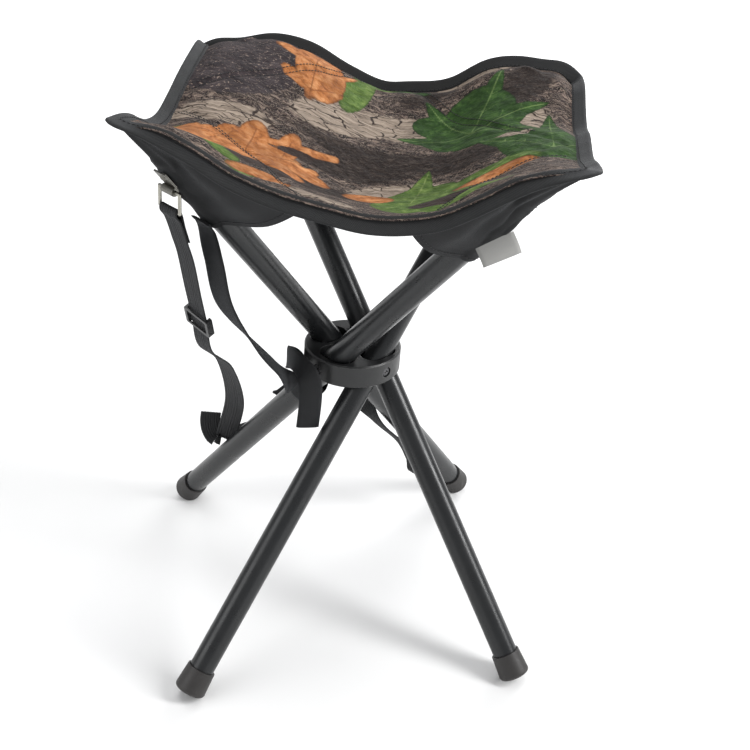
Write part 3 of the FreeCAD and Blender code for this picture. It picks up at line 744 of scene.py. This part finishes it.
# centre x, y, radii, turn in radians
ELLIPSES = {
    "f_trunk": [(-116, 66, 50, 66, -0.25), (-84, 128, 24, 26, 0.4)],
    "f_wood": [(-112, -26, 42, 15, 0.25), (-20, 42, 52, 22, 0.55), (34, 54, 34, 22, 0.1),
               (34, -58, 40, 21, 0.25), (124, 22, 17, 46, -0.35), (74, 138, 34, 20, 0.3),
               (-24, -130, 34, 11, -0.2)],
    "f_orange": [(-52, 92, 22, 46, 0.12), (-92, -74, 44, 27, 0.5), (-62, -128, 24, 9, 0.5),
                 (-150, -116, 17, 10, 0.7), (12, -74, 20, 12, 0.3)],
    "f_green": [(-20, 98, 13, 44, -0.12), (-8, 128, 22, 10, -0.3), (52, -70, 34, 19, 0.9),
                (84, -66, 56, 20, 0.35), (-127, -74, 15, 12, 0.4), (-90, -122, 14, 10, -0.3),
                (-72, -136, 12, 9, 0.2)],
    "f_dgreen": [(86, 66, 30, 36, 0.1), (54, 62, 24, 17, -0.5), (20, 124, 24, 7, -0.4)],
    "f_hole": [(-60, -100, 20, 9, 0.4), (-80, -112, 11, 8, -0.3), (-50, -38, 16, 5, 0.3)],
    "f_shadow": [(-26, -84, 40, 16, 0.1), (40, -8, 96, 17, -0.06), (124, 104, 20, 40, -0.4),
                 (40, 106, 28, 10, 0.5), (-12, -30, 54, 13, 0.15)],
}
# orange bars: start x, y, end x, y, half width, narrowing per mm away from BAR_MIDDLE_X
BARS = [(-70, -38, -22, -22, 5.5, 0.05), (-66, -78, -34, -54, 5.0, 0.0)]
BAR_MIDDLE_X = -45
# orange: centre x, y, length, turn, pairs of lobes, lobe length as a share, seed
LOBED_LEAVES = [(-56, 88, 96, 1.62, 3, 0.50, 3), (-96, -78, 118, 0.50, 4, 0.46, 5)]
# field, base x, y, radius, turn, points, seed
POINTED_LEAVES = [("f_green", 44, -94, 96, 0.62, 3, 4), ("f_dgreen", 82, 34, 92, 1.38, 5, 7),
                  ("f_dgreen", 146, -34, 92, 1.62, 3, 8)]
# ellipses cut out of the green: one turns orange, one brown
ORANGE_PATCH = (106, -64, 32, 12, 0.2)
BROWN_PATCH = (70, -96, 26, 10, 0.3)


def local(x, y, cx, cy, turn):
    """Coordinates along and across a direction, from a centre."""
    c, s = math.cos(turn), math.sin(turn)
    return (x - cx) * c + (y - cy) * s, -(x - cx) * s + (y - cy) * c


def ellipse(x, y, cx, cy, rx, ry, turn):
    u, v = local(x, y, cx, cy, turn)
    return (np.hypot(u / rx, v / ry) - 1) * min(rx, ry)


def lobed_leaf(x, y, cx, cy, length, turn, lobes, width, seed):
    """Round-lobed leaf: a midrib with paired lobes. Returns (field, vein distance)."""
    rng = np.random.default_rng(seed)
    u, v = local(x, y, cx, cy, turn)
    field = ellipse(u, v, 0, 0, length * 0.5, length * 0.09, 0)
    vein = segment(u, v, -length * 0.55, 0, length * 0.45, 0)
    for i in range(lobes):
        root = length * (-0.36 + 0.72 * i / (lobes - 1))
        swell = 0.55 + 0.45 * math.sin(math.pi * (i + 0.8) / (lobes + 0.6))
        lobe = width * length * swell * rng.uniform(0.85, 1.1)
        for side in (-1, 1):
            a = side * rng.uniform(0.75, 1.05)
            c, s = lobe * math.cos(a), lobe * math.sin(a)
            half = length * 0.085 * rng.uniform(0.9, 1.25)
            field = np.minimum(field, ellipse(u, v, root + c * 0.45, s * 0.45, lobe * 0.5, half, a))
            vein = np.minimum(vein, segment(u, v, root, 0, root + c * 0.75, s * 0.75))
    return field, vein


def pointed_leaf(x, y, cx, cy, radius, turn, points, seed):
    """Sharp-lobed leaf round a base point. Returns (field, vein distance)."""
    rng = np.random.default_rng(seed)
    dx, dy = x - cx, y - cy
    field = np.hypot(dx, dy) - radius * 0.30
    vein = np.full(x.shape, 99.0)
    for i in range(points):
        from_middle = i - (points - 1) / 2
        a = turn + from_middle * 0.82 + rng.uniform(-0.06, 0.06)
        length = radius * (1.0 - 0.16 * abs(from_middle)) * rng.uniform(0.93, 1.05)
        u, v = local(dx, dy, 0, 0, a)
        t = np.clip(u / length, 0, 1)
        half = (radius * 0.27 * (1 - t) ** 0.75
                * (0.75 + 0.5 * np.sin(math.pi * np.clip(t * 1.6, 0, 1))))
        d = np.abs(v) - half
        d = np.where(u < 0, np.hypot(u, v) - radius * 0.1, d)
        d = np.where(u > length, np.hypot(u - length, v), d)
        field = np.minimum(field, d)
        tip_x, tip_y = length * math.cos(a), length * math.sin(a)
        vein = np.minimum(vein, segment(dx, dy, 0, 0, 0.93 * tip_x, 0.93 * tip_y))
        for share in (0.35, 0.6):
            for side in (-1, 1):
                bx, by = tip_x * share, tip_y * share
                branch = segment(dx, dy, bx, by, bx + 0.2 * length * math.cos(a + side * 0.8),
                                 by + 0.2 * length * math.sin(a + side * 0.8))
                vein = np.minimum(vein, branch + 0.35)
    return field, vein


def pattern(x, y):
    """All print fields at seat-frame points."""
    fields = {key: np.full(x.shape, FAR) for key in FIELDS}

    def put(key, field):
        fields[key] = np.minimum(fields[key], field)

    def put_leaf(key, leaf):
        field, vein = leaf
        near = field < 2
        fields["f_vein"] = np.where(near, np.minimum(fields["f_vein"], vein), fields["f_vein"])
        put(key, field)

    for key, shapes in ELLIPSES.items():
        for shape in shapes:
            put(key, ellipse(x, y, *shape))
    for *ends, half, narrowing in BARS:
        put("f_orange", segment(x, y, *ends) - half + narrowing * np.abs(x - BAR_MIDDLE_X))
    for shape in LOBED_LEAVES:
        put_leaf("f_orange", lobed_leaf(x, y, *shape))
    for key, *shape in POINTED_LEAVES:
        put_leaf(key, pointed_leaf(x, y, *shape))
    orange, brown = ellipse(x, y, *ORANGE_PATCH), ellipse(x, y, *BROWN_PATCH)
    fields["f_green"] = np.maximum(fields["f_green"], -np.minimum(orange, brown))
    put("f_orange", orange)
    put("f_hole", brown)
    return fields


# --------------------------------------------------------- seat cloth quadrants
# distances out from the centre towards each leg, and a height, given to diagonal_point in
# finish_corner
BLEND_START, BLEND_END = 30.0, 150.0
BLEND_Z = 450.0
CLOTH_THICK = 0.9
QUADRANT_POINTS = 112
UNDER_BINDING = 0.022  # run past the visible edge, in units of a and b


def diagonal_point(number, distance):
    """Point out from the centre towards a leg's top, in metres."""
    out = LEGS[number].along.copy()
    out[2] = 0
    out /= np.linalg.norm(out)
    return tuple((out * distance + np.array([0, 0, BLEND_Z])) * MM)


def finish_corner(ob, number, part=None):
    """Hide the CAD part that the piece replaces, if any, and bake the piece's transform into its
    mesh.
    """
    if part:
        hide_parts(part)
    diagonal_point(number, BLEND_START)
    diagonal_point(number, BLEND_END)
    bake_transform(ob)


def seat_quadrant(number, corner):
    steps = np.concatenate([np.linspace(0, 1, QUADRANT_POINTS), [1 + UNDER_BINDING]])
    a, b = np.meshgrid(steps * corner.x_sign, steps * corner.y_sign, indexing="ij")
    grid = seat_surface(a, b)
    attrs = pattern(grid[..., 0], grid[..., 1])
    attrs["pat"] = np.stack([grid[..., 0], grid[..., 1], np.zeros_like(a)], -1)
    ob = slab("seat_cloth_" + corner.name, to_row(grid), CLOTH_THICK, M_PRINT, attrs,
              flip=corner.x_sign * corner.y_sign < 0)
    finish_corner(ob, number, "seat_panel")


for number, corner in CORNERS.items():
    seat_quadrant(number, corner)

# ------------------------------------------------------------- edge binding tape
BINDING_SIDES = 28
# inner: inner edge; run: length so far; across: towards the outer edge; normal: upward
Binding = namedtuple("Binding", "mid inner run across normal width")


def binding_path(corner):
    """Binding from mid-edge round the corner tip to mid-edge, in the seat frame."""
    t = np.linspace(0, 1, 120)
    outside, inside = (
        np.concatenate([edge(corner.cross_edge, t * corner.x_sign),
                        edge(corner.side_edge, (t * corner.y_sign)[::-1])[1:]])
        for edge in (outer, inner))
    outside, inside = smooth_path(outside, 2.2), smooth_path(inside, 1.6)
    mid, outside, inside, run = resample((outside + inside) / 2, outside, inside, step=1.6)
    tangent = unit(np.gradient(mid, axis=0))
    width = np.linalg.norm(outside - inside, axis=1, keepdims=True)
    across = (outside - inside) / width
    across = unit(across - tangent * (across * tangent).sum(1, keepdims=True))
    normal = np.cross(tangent, across)
    if normal[len(normal) // 4, 2] < 0:
        normal = -normal
    return Binding(mid, inside, run, across, normal, width)


def edge_binding(number, corner, path):
    phase = np.linspace(0, TAU, BINDING_SIDES, endpoint=False)
    u = np.sign(np.cos(phase)) * np.abs(np.cos(phase)) ** 0.55
    v = np.sign(np.sin(phase)) * np.abs(np.sin(phase)) ** 0.75
    half = path.width / 2 + 1.6
    ripple = 0.18 * np.sin(path.run * TAU / 23.0 + number)[:, None]
    # bead at the folded outer edge, thin where it lies on the cloth
    thick = 1.15 + 0.45 * smooth01((u - 0.25) / 0.6)[None, :] + ripple * 0.6
    rings = (path.mid[:, None, :] - path.across[:, None, :] * 0.6
             + path.across[:, None, :] * (half * u)[..., None]
             + path.normal[:, None, :] * (thick * v)[..., None])
    girth = np.cumsum(np.r_[0, np.linalg.norm(np.diff(rings[0], axis=0), axis=1)])
    ob = loft("edge_binding_" + corner.name, to_row(rings), strip_pattern(girth, path.run), M_BIND)
    finish_corner(ob, number, "seat_binding")


def strip_pattern(across, run):
    """Attribute pat for a strip: millimetres across and along."""
    u, v = np.meshgrid(across, run)
    return np.stack([u, v, np.zeros_like(u)], -1)


BINDINGS = {}
for number, corner in CORNERS.items():
    BINDINGS[number] = binding_path(corner)
    edge_binding(number, corner, BINDINGS[number])

# --------------------------------------------------------------------- stitching
# along one stitch: thickness, and height, both in thread radii
STITCH_SWELL = np.array([0.35, 0.9, 1.0, 0.9, 0.35])
STITCH_LIFT = np.array([-0.5, 0.6, 1.0, 0.6, -0.5])
STITCH_RISE = 0.15
STITCH_SIDES = 6


def stitches(name, points, normals, length, gap, radius):
    """Row of thread stitches lying along a path on a surface."""
    points, normals, run = resample(points, normals, step=0.4)
    lift = STITCH_LIFT * radius * 0.8 + STITCH_RISE
    verts, faces, pats = [], [], []
    sides = range(STITCH_SIDES)
    start = gap
    while start + length < run[-1] - gap:
        places = np.linspace(start, start + length, 5)
        line, up = (np.stack([np.interp(places, run, rows[:, i]) for i in range(3)], 1)
                    for rows in (points, normals))
        up = unit(up)
        across = np.cross(unit(np.gradient(line, axis=0)), up)
        base = len(verts)
        for i, swell in enumerate(STITCH_SWELL):
            for j in sides:
                angle = j * math.pi / 3
                verts.append(line[i] + up[i] * (lift[i] + radius * swell * math.sin(angle))
                             + across[i] * radius * swell * 1.25 * math.cos(angle))
                pats.append((angle * radius, places[i], 0))
        for i in range(4):
            ring = base + i * STITCH_SIDES
            for j in sides:
                k = (j + 1) % STITCH_SIDES
                faces.append((ring + j, ring + k, ring + STITCH_SIDES + k, ring + STITCH_SIDES + j))
        faces.append(tuple(base + j for j in reversed(sides)))
        faces.append(tuple(base + 4 * STITCH_SIDES + j for j in sides))
        start += length + gap
    return add_mesh(name, np.array(verts), faces, M_THREAD, {"pat": np.array(pats)})


def binding_stitches(number, corner):
    path = BINDINGS[number]
    line = path.inner + path.across * 1.2 + path.normal * 1.25
    ob = stitches("binding_stitches_" + corner.name, to_row(line), to_row(path.normal),
                  length=2.6, gap=1.0, radius=0.34)
    finish_corner(ob, number)


def pocket_seams(number, corner):
    """Two rows of stitching where the pocket is sewn to the seat."""
    signs = np.array([corner.x_sign, corner.y_sign])
    for row, offset in enumerate((0.0, 0.034), start=1):
        path = catmull(corner.seam, 24) + signs * offset / math.sqrt(2)
        path = path[(np.abs(path) < 0.985).all(1) & (path * signs > 0.012).all(1)]
        a, b = path[:, 0], path[:, 1]
        points = seat_surface(a, b)
        nudge = 0.01
        normals = unit(np.cross(seat_surface(a + nudge, b) - points,
                                seat_surface(a, b + nudge) - points))
        normals = normals * np.sign(normals[:, 2:3])
        ob = stitches(f"pocket_seam_{corner.name}_{row}",
                      to_row(points + normals * CLOTH_THICK / 2), to_row(normals),
                      length=2.7, gap=0.8, radius=0.36)
        finish_corner(ob, number)


for number, corner in CORNERS.items():
    binding_stitches(number, corner)
    pocket_seams(number, corner)

# ---------------------------------------------------------------- corner pockets
# rows below the tip: share of the way to the mouth, distance up the tube
POCKET_ROWS = [(0.16, 287.0), (0.32, 274.0), (0.5, 258.0), (0.66, 241.0), (0.82, 224.0),
               (1.0, 207.0)]
POCKET_R = TUBE_R + 1.5
POCKET_DROP = np.array([0, 0, -0.8])  # below the binding
POCKET_PER_SPAN = 9
COVERED_TOP = TUBE_TOP + 1.5


def pocket_controls(number, corner):
    """Control rows from the corner tip to the mouth, each from side edge to cross edge."""

    def on_edge(edge, sign, reach, share):
        t = np.array([sign - sign * reach * (0.03 + 0.97 * share)])
        return to_row(weigh(inner(edge, t)[0], outer(edge, t)[0], 0.72) + POCKET_DROP)

    def edge_points(share):
        cross_reach = abs(corner.seam[0][0] - corner.x_sign)
        side_reach = abs(corner.seam[-1][1] - corner.y_sign)
        return (on_edge(corner.cross_edge, corner.x_sign, cross_reach, share),
                on_edge(corner.side_edge, corner.y_sign, side_reach, share))

    cross, side = edge_points(0.0)
    tip = (cross + side) / 2 + np.array([0, 0, -3.0])
    rows = [[side, weigh(side, tip, .7), weigh(side, tip, .35), tip,
             weigh(cross, tip, .35), weigh(cross, tip, .7), cross]]
    for share, height in POCKET_ROWS:
        cross, side = edge_points(share)
        facing = 1.0 if (cross - at_leg(number, 0, 0, height)) @ LEGS[number].hinge > 0 else -1.0

        def on_tube(degrees, sign, radius):
            angle = math.radians(degrees)
            return at_leg(number, sign * radius * math.sin(angle), radius * math.cos(angle), height)

        middle = at_leg(number, 0, POCKET_R * 0.92 if height > 280 else POCKET_R, height)
        near_cross, near_side = (on_tube(50, s, POCKET_R) for s in (facing, -facing))
        far_cross, far_side = (on_tube(84, s, POCKET_R + 1.0) for s in (facing, -facing))
        sag = np.array([0, 0, -1.0]) * (2.0 + 7.0 * share)
        rows.append([side, weigh(side, far_side, .52) + sag, weigh(near_side, far_side, .8), middle,
                     weigh(near_cross, far_cross, .8), weigh(cross, far_cross, .52) + sag, cross])
    return np.array(rows)


def pocket(number, corner):
    controls = pocket_controls(number, corner)
    columns = np.stack([catmull(controls[:, i], POCKET_PER_SPAN)
                        for i in range(controls.shape[1])], 1)
    grid = np.stack([catmull(row, POCKET_PER_SPAN) for row in columns], 0)
    n, m = grid.shape[:2]
    down, across = np.meshgrid(np.linspace(0, 1, n), np.linspace(-1, 1, m), indexing="ij")
    # small puckers
    pucker = (0.9 * np.sin(across * 17 + 3 * down + number) * np.sin(np.pi * down)
              + 0.6 * np.sin(down * 21 + 4 * across + 2 * number))
    pucker *= smooth01((1 - np.abs(across)) / 0.2) * smooth01(down / 0.15)
    grid = grid + grid_normals(grid) * pucker[..., None]
    # keep the cloth outside the tube
    leg = LEGS[number]
    from_pivot = grid - leg.pivot
    height = from_pivot @ leg.along
    radial = from_pivot - height[..., None] * leg.along
    distance = np.linalg.norm(radial, axis=2)
    push = np.maximum(np.where(height < COVERED_TOP, TUBE_R + 1.15, 0) - distance, 0)
    grid = grid + radial / np.maximum(distance, 1e-6)[..., None] * push[..., None]

    hem = 0.8 + 0.9 * smooth01((down - 0.9) / 0.03)
    u = np.cumsum(np.concatenate([np.zeros((n, 1)),
                                  np.linalg.norm(np.diff(grid, axis=1), axis=2)], 1), 1)
    v = np.cumsum(np.concatenate([np.zeros((1, m)),
                                  np.linalg.norm(np.diff(grid, axis=0), axis=2)], 0), 0)
    pat = np.stack([u - u[:, m // 2:m // 2 + 1], v, np.zeros_like(u)], -1)
    normals = grid_normals(grid)
    flip = bool(normals[n // 2, m // 2] @ leg.normal < 0)
    ob = slab("pocket_" + corner.name, grid, hem, M_POCKET, {"pat": pat}, flip=flip)
    finish_corner(ob, number, f"corner_pocket_{number}")

    # hem stitching along the mouth
    row = int(0.955 * (n - 1))
    up = -normals[row] if flip else normals[row]
    ob = stitches("pocket_hem_stitches_" + corner.name, grid[row] + up * 0.85, up,
                  length=2.6, gap=1.0, radius=0.32)
    finish_corner(ob, number)


for number, corner in CORNERS.items():
    pocket(number, corner)

# ------------------------------------------------------------------------ straps
STRAP_W = 20
WEB_THICK = 1.5
WEB_RIBS = 7
TIE_THICK = 2.0


def strap(name, points, directions, width, thick, mat, ribs=0, bow=0.0, per_span=10, step=1.4):
    """Flat strip along a path; directions point across it, ribs adds lengthwise cords."""
    line, across, run = resample(catmull(points, per_span), catmull(directions, per_span),
                                 step=step)
    tangent = unit(np.gradient(line, axis=0))
    across = unit(across - tangent * (across * tangent).sum(1, keepdims=True))
    normal = np.cross(tangent, across)
    half_w = width / 2
    x = np.linspace(-1, 1, ribs * 4 + 2 if ribs else 10)
    profile = thick / 2 * (1 - 0.75 * np.clip((np.abs(x) - 0.86) / 0.14, 0, 1) ** 2)
    if ribs:
        profile = profile + 0.16 * np.cos(x * math.pi * ribs) * (np.abs(x) < 0.95)
    u = np.r_[x * half_w, x[::-1] * half_w]
    v = np.r_[profile, -profile[::-1]] + bow * (1 - (u / half_w) ** 2)
    rings = (line[:, None, :] + across[:, None, :] * u[:, None]
             + normal[:, None, :] * v[None, :, None])
    return loft(name, rings, strip_pattern(u, run), mat)


def webbing(name, points, directions, part=None, step=1.4):
    ob = strap(name, points, directions, STRAP_W, WEB_THICK, M_WEB, ribs=WEB_RIBS, step=step)
    if part:
        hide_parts(part)
    return ob


def tie_strap(name, points, directions, part, leg, thick=TIE_THICK, **shape):
    ob = strap(name, points, directions, STRAP_W, thick, M_TIE, **shape)
    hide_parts(part)
    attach(ob, leg)


RING_INSET = 1.4  # from the top or bottom of a ring's box to the strap's turning point
HINGE_1 = LEGS[1].hinge
BACK_1 = tuple(-HINGE_1)


def ring_points(part):
    """Points on a ring's middle line, near its bottom and its top."""
    lo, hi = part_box(part)
    x, y = (np.array((lo + hi) / 2) / MM)[:2]
    return (np.array([x, y, lo[2] / MM + RING_INSET]), np.array([x, y, hi[2] / MM - RING_INSET]))


UPPER_RING = ring_points("strap_ring_upper")[0]
LOWER_RING, LOWER_BAR = ring_points("strap_ring_lower")
SLIDER = np.array([-127.0, -60.0, 319.0])
BELOW_RING = np.array([-133, -92, 390.0])

# webbing looped through the upper ring
down = BELOW_RING - UPPER_RING
down /= np.linalg.norm(down)
face = np.cross(down, HINGE_1)
face /= np.linalg.norm(face)
loop_end = UPPER_RING + down * 34.0
# distance down from the ring, distance off the strap's face
LOOP = [(30, 1.9), (16, 2.0), (3, 2.6), (-2.4, 0), (2, -2.4), (9, -0.6), (20, 0)]
ob = webbing("webbing_end_upper",
             [UPPER_RING + down * drop + face * off for drop, off in LOOP] + [loop_end],
             [HINGE_1] * 8, step=0.9)
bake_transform(ob)

# from the loop through the slider to the low turn
ob = webbing("webbing_upper_run",
             [loop_end - down * 2, BELOW_RING, (-130, -76, 354), SLIDER + (0.1, 0.55, 0.25),
              (-124, -44, 284), (-111, -6, 246), (-106.2, 45.2, 176.2), (-117.3, 87.2, 108.8),
              (-118.6, 90.5, 101)],
             [HINGE_1] * 5 + [(-0.8, 0.6, 0.1), (-0.9, 0.4, 0.1), (-0.95, 0.2, 0.2),
                              (-0.95, 0.2, 0.2)],
             part="carry_strap_upper")
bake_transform(ob)

# from the low turn back up and over to the lower ring
leg_exit = at_leg(1, 0, 16.5, -207)
lower_end = LOWER_BAR + (-5.5, -5.5, 1.0)
ob = webbing("webbing_lower_run",
             [(-118.9, 92.5, 101.5), (-120.5, 100.5, 93.5), (-119.5, 103.5, 93),
              (-107.4, 97.8, 102), (-88.9, 81.7, 127.5), (-71.2, 63.8, 157.2), (-54, 55, 186),
              (-26, 68, 196), (3, 78, 190), (15.5, 81.1, 160.3), (32, 76.5, 137.2),
              at_leg(1, 0, 15.5, -185), leg_exit, lower_end],
             [(-0.95, 0.2, 0.2), (-0.92, 0.1, 0.35), (-0.85, 0.12, 0.2), (-0.6, 0.2, -0.75),
              (-0.65, 0.1, -0.7), (-0.6, 0.2, -0.75), (-0.1, 0.3, -0.95), (0.1, 0.3, -0.9),
              (0.45, 0.2, -0.8), (0.7, -0.2, -0.5)] + [BACK_1] * 4,
             part="carry_strap_lower")
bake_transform(ob)

# webbing looped through the lower ring; offsets from the ring's low point
LOWER_LOOP = [(-3.6, -3.6, 8), (-2.6, -2.6, 1.0), (-0.4, -0.4, -2.6), (2.0, 2.0, 0.2),
              (-0.4, -0.4, 6.5), (-2.2, -2.2, 12.0)]
ob = webbing("webbing_end_lower",
             [lower_end + (0.3, 0.3, 2)] + [LOWER_RING + offset for offset in LOWER_LOOP],
             [BACK_1] * 7, step=0.9)
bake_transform(ob)

# doubled end of the webbing at its low turn
ob = webbing("webbing_doubled_end",
             [(-123, 93.5, 98), (-129, 93.5, 100), (-133, 93, 109), (-134, 92, 120),
              (-133, 91, 130)],
             [(0.6, 0.1, -0.75), (0.8, 0.1, -0.5), (0.97, 0.1, -0.1), (0.99, 0.1, 0),
              (0.99, 0.1, 0.05)])
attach(ob, "hub")

# hook-and-loop tie strap: from the pocket down, round tube 3 below the hub, free end down
tie_strap("tie_strap_run",
          [at_leg(1, 0, 15.2, 218), at_leg(1, 0, 16.4, 208), (-112, -90, 388), (-104, -86, 348),
           (-82, -72, 306), (-65, -57, 277), (-56, -42, 255), (-50, -24, 240), (-48, -17.5, 236)],
          [HINGE_1, HINGE_1, (-0.8, 0.6, 0), (-0.8, 0.6, 0), (-0.6, 0.5, 0.6), (-0.5, 0.5, 0.7),
           (-0.2, 0.25, 0.95), (0.3, -0.3, 0.9), (0.4, -0.4, 0.8)],
          part="tie_strap_lead", leg="leg_1", bow=0.5)

WRAP_AT = -44.0  # along tube 3
WRAP_TURNS = 1.3
ALONG_3 = LEGS[3].along
angles = np.linspace(-0.2, WRAP_TURNS * TAU - 0.2, 90)
radii = TUBE_R + 1.5 + 0.08 * np.sin(3 * angles) + 1.9 * (angles - angles[0]) / TAU
tie_strap("tie_strap_wrap_band",
          [at_leg(3, r * math.sin(a), r * math.cos(a), WRAP_AT + 1.1 * math.sin(a * 0.7))
           for a, r in zip(angles, radii)],
          [ALONG_3 + 0.05 * math.sin(a) * LEGS[3].hinge for a in angles],
          part="tie_strap_wrap", leg="leg_3", thick=1.8, per_span=2)

tie_strap("tie_strap_free_end",
          [at_leg(3, 1, -18.0, WRAP_AT), (-52, 3.5, 249), (-55.5, -9, 258), (-53, -22.5, 265.5),
           (-47, -35.5, 268.5), (-39, -44.5, 264), (-35, -46, 252), (-34.5, -46, 235),
           (-36, -45, 210)],
          [ALONG_3, (0.2, -0.1, 0.97), (0, 0, 1), (0.05, 0, 1), (0.3, -0.1, 0.9),
           (0.75, -0.05, 0.6), (0.96, 0.1, 0.2), (0.97, 0.2, 0), (0.97, 0.2, 0)],
          part="tie_strap_tail", leg="leg_3", bow=0.5)

# blank sewn-in label
ob = strap("sewn_label", [(92, -136, 440), (94.5, -138.5, 436), (97, -140.5, 431.5),
                          (99, -141.5, 427)],
           [(0.82, 0.27, 0.5)] * 4, width=30.0, thick=0.5, mat=M_LABEL, bow=0.3)
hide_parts("care_label")
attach(ob, "leg_3")

# --------------------------------------------------------------- CAD node looks
# start of the piece's name, material; the first match counts
FINISH = (("leg_tube", M_TUBE), ("hub_ring", M_HUB), ("foot_cap", M_FOOT), ("end_plug", M_PLUG),
          ("pivot_screw", M_SCREW), ("strap_slider", M_SLIDER), ("strap_ring", M_RING),
          ("strap_bracket", M_BRACKET), ("bracket_rivet", M_BRACKET), ("seat_", M_PRINT),
          ("corner_pocket", M_POCKET), ("carry_strap", M_WEB), ("tie_strap", M_TIE),
          ("care_label", M_LABEL))
for name, ob in frame["nodes"].items():
    for head, mat in FINISH:
        if name.startswith(head):
            if not ob.data.materials:
                ob.data.materials.append(mat)
            for material_slot in ob.material_slots:
                material_slot.material = mat
            break

# ------------------------------------------------------------- stage, in metres
FLOOR_HALF = 9
FLOOR_Z = -0.0002
BACKGROUND_LIGHT = 0.5
BACKGROUND_SEEN_EXTRA = 0.42  # added where the camera sees the background


def floor_material():
    """Pale floor that glows away from the middle."""
    mat, g = new_material("pale_floor")
    co = g.coords()
    col = g.ramp(g.noise(co, scale=3.0, detail=3.0), (0.3, (0.80, 0.80, 0.80)),
                 (0.7, (0.84, 0.84, 0.835)))
    away = g.node("VectorMath", {0: co}, operation="LENGTH").outputs["Value"]
    g.set(Base_Color=col, Roughness=0.7, Emission_Color=(0.97, 0.975, 0.98, 1),
          Emission_Strength=g.mul(g.step(away, lo=0.55, hi=1.7), 0.55))
    return mat


floor_mat = floor_material()
mesh = bpy.data.meshes.new("floor")
mesh.from_pydata([(x * FLOOR_HALF, y * FLOOR_HALF, 0)
                  for x, y in ((-1, -1), (1, -1), (1, 1), (-1, 1))], [], [(0, 1, 2, 3)])
mesh.materials.append(floor_mat)
floor = link_new("floor", mesh)
floor.location = (0, 0, FLOOR_Z)

world = bpy.data.worlds.new("studio")
world.use_nodes = True
background = Graph(world.node_tree, "Background")
background.set(Color=(0.97, 0.98, 1.0, 1), Strength=BACKGROUND_LIGHT)
seen = background.node("LightPath").outputs["Is Camera Ray"]
background.set(Strength=background.mul_add(seen, BACKGROUND_SEEN_EXTRA, BACKGROUND_LIGHT))
bpy.context.scene.world = world

# name, place, point aimed at, size, power in watts
LIGHTS = (
    ("key_right", (1.5, -0.45, 1.3), (0, 0, 0.25), (0.5, 1.3), 34.0),
    ("top", (-0.1, 0.3, 2.0), (0, 0, 0.2), (1.4, 1.4), 20.0),
    ("fill_left", (-1.7, -0.9, 1.0), (0, 0, 0.3), (1.2, 1.4), 12.0),
    ("rim_back", (0.9, 1.8, 1.0), (0, 0, 0.3), (1.2, 0.8), 18.0),
)
for name, place, target, size, power in LIGHTS:
    light = bpy.data.lights.new(name, "AREA")
    light.shape = "RECTANGLE"
    light.size, light.size_y = size
    light.energy = power
    ob = link_new(name, light)
    ob.location = place
    ob.rotation_euler = (Vector(target) - Vector(place)).to_track_quat("-Z", "Y").to_euler()

# camera: base axes, then swung so that it aims a little right and down
CAMERA_PLACE = (-0.02794, -0.94536, 0.81894)
SWING_RIGHT, SWING_DOWN = 0.1642, 0.0785  # tangents
right = Vector((0.99153368, 0.1290392, -0.01448578))
up = Vector((-0.04650985, 0.45708912, 0.88820401))
forward = Vector((-0.12123443, 0.88001047, -0.45922085))
aim = (forward + right * SWING_RIGHT - up * SWING_DOWN).normalized()
swing = forward.rotation_difference(aim)
axes = Matrix((swing @ right, swing @ up, -aim)).transposed()
lens = bpy.data.cameras.new("camera")
camera = link_new("camera", lens)
camera.matrix_world = Matrix.Translation(CAMERA_PLACE) @ axes.to_4x4()
lens.sensor_width = 36.0
lens.lens = 60.0
lens.clip_start, lens.clip_end = 0.05, 60.0
bpy.context.scene.camera = camera
bpy.context.scene.view_settings.view_transform = "Standard"

# -------------------------------------------------------------------------- update
bpy.context.view_layer.update()
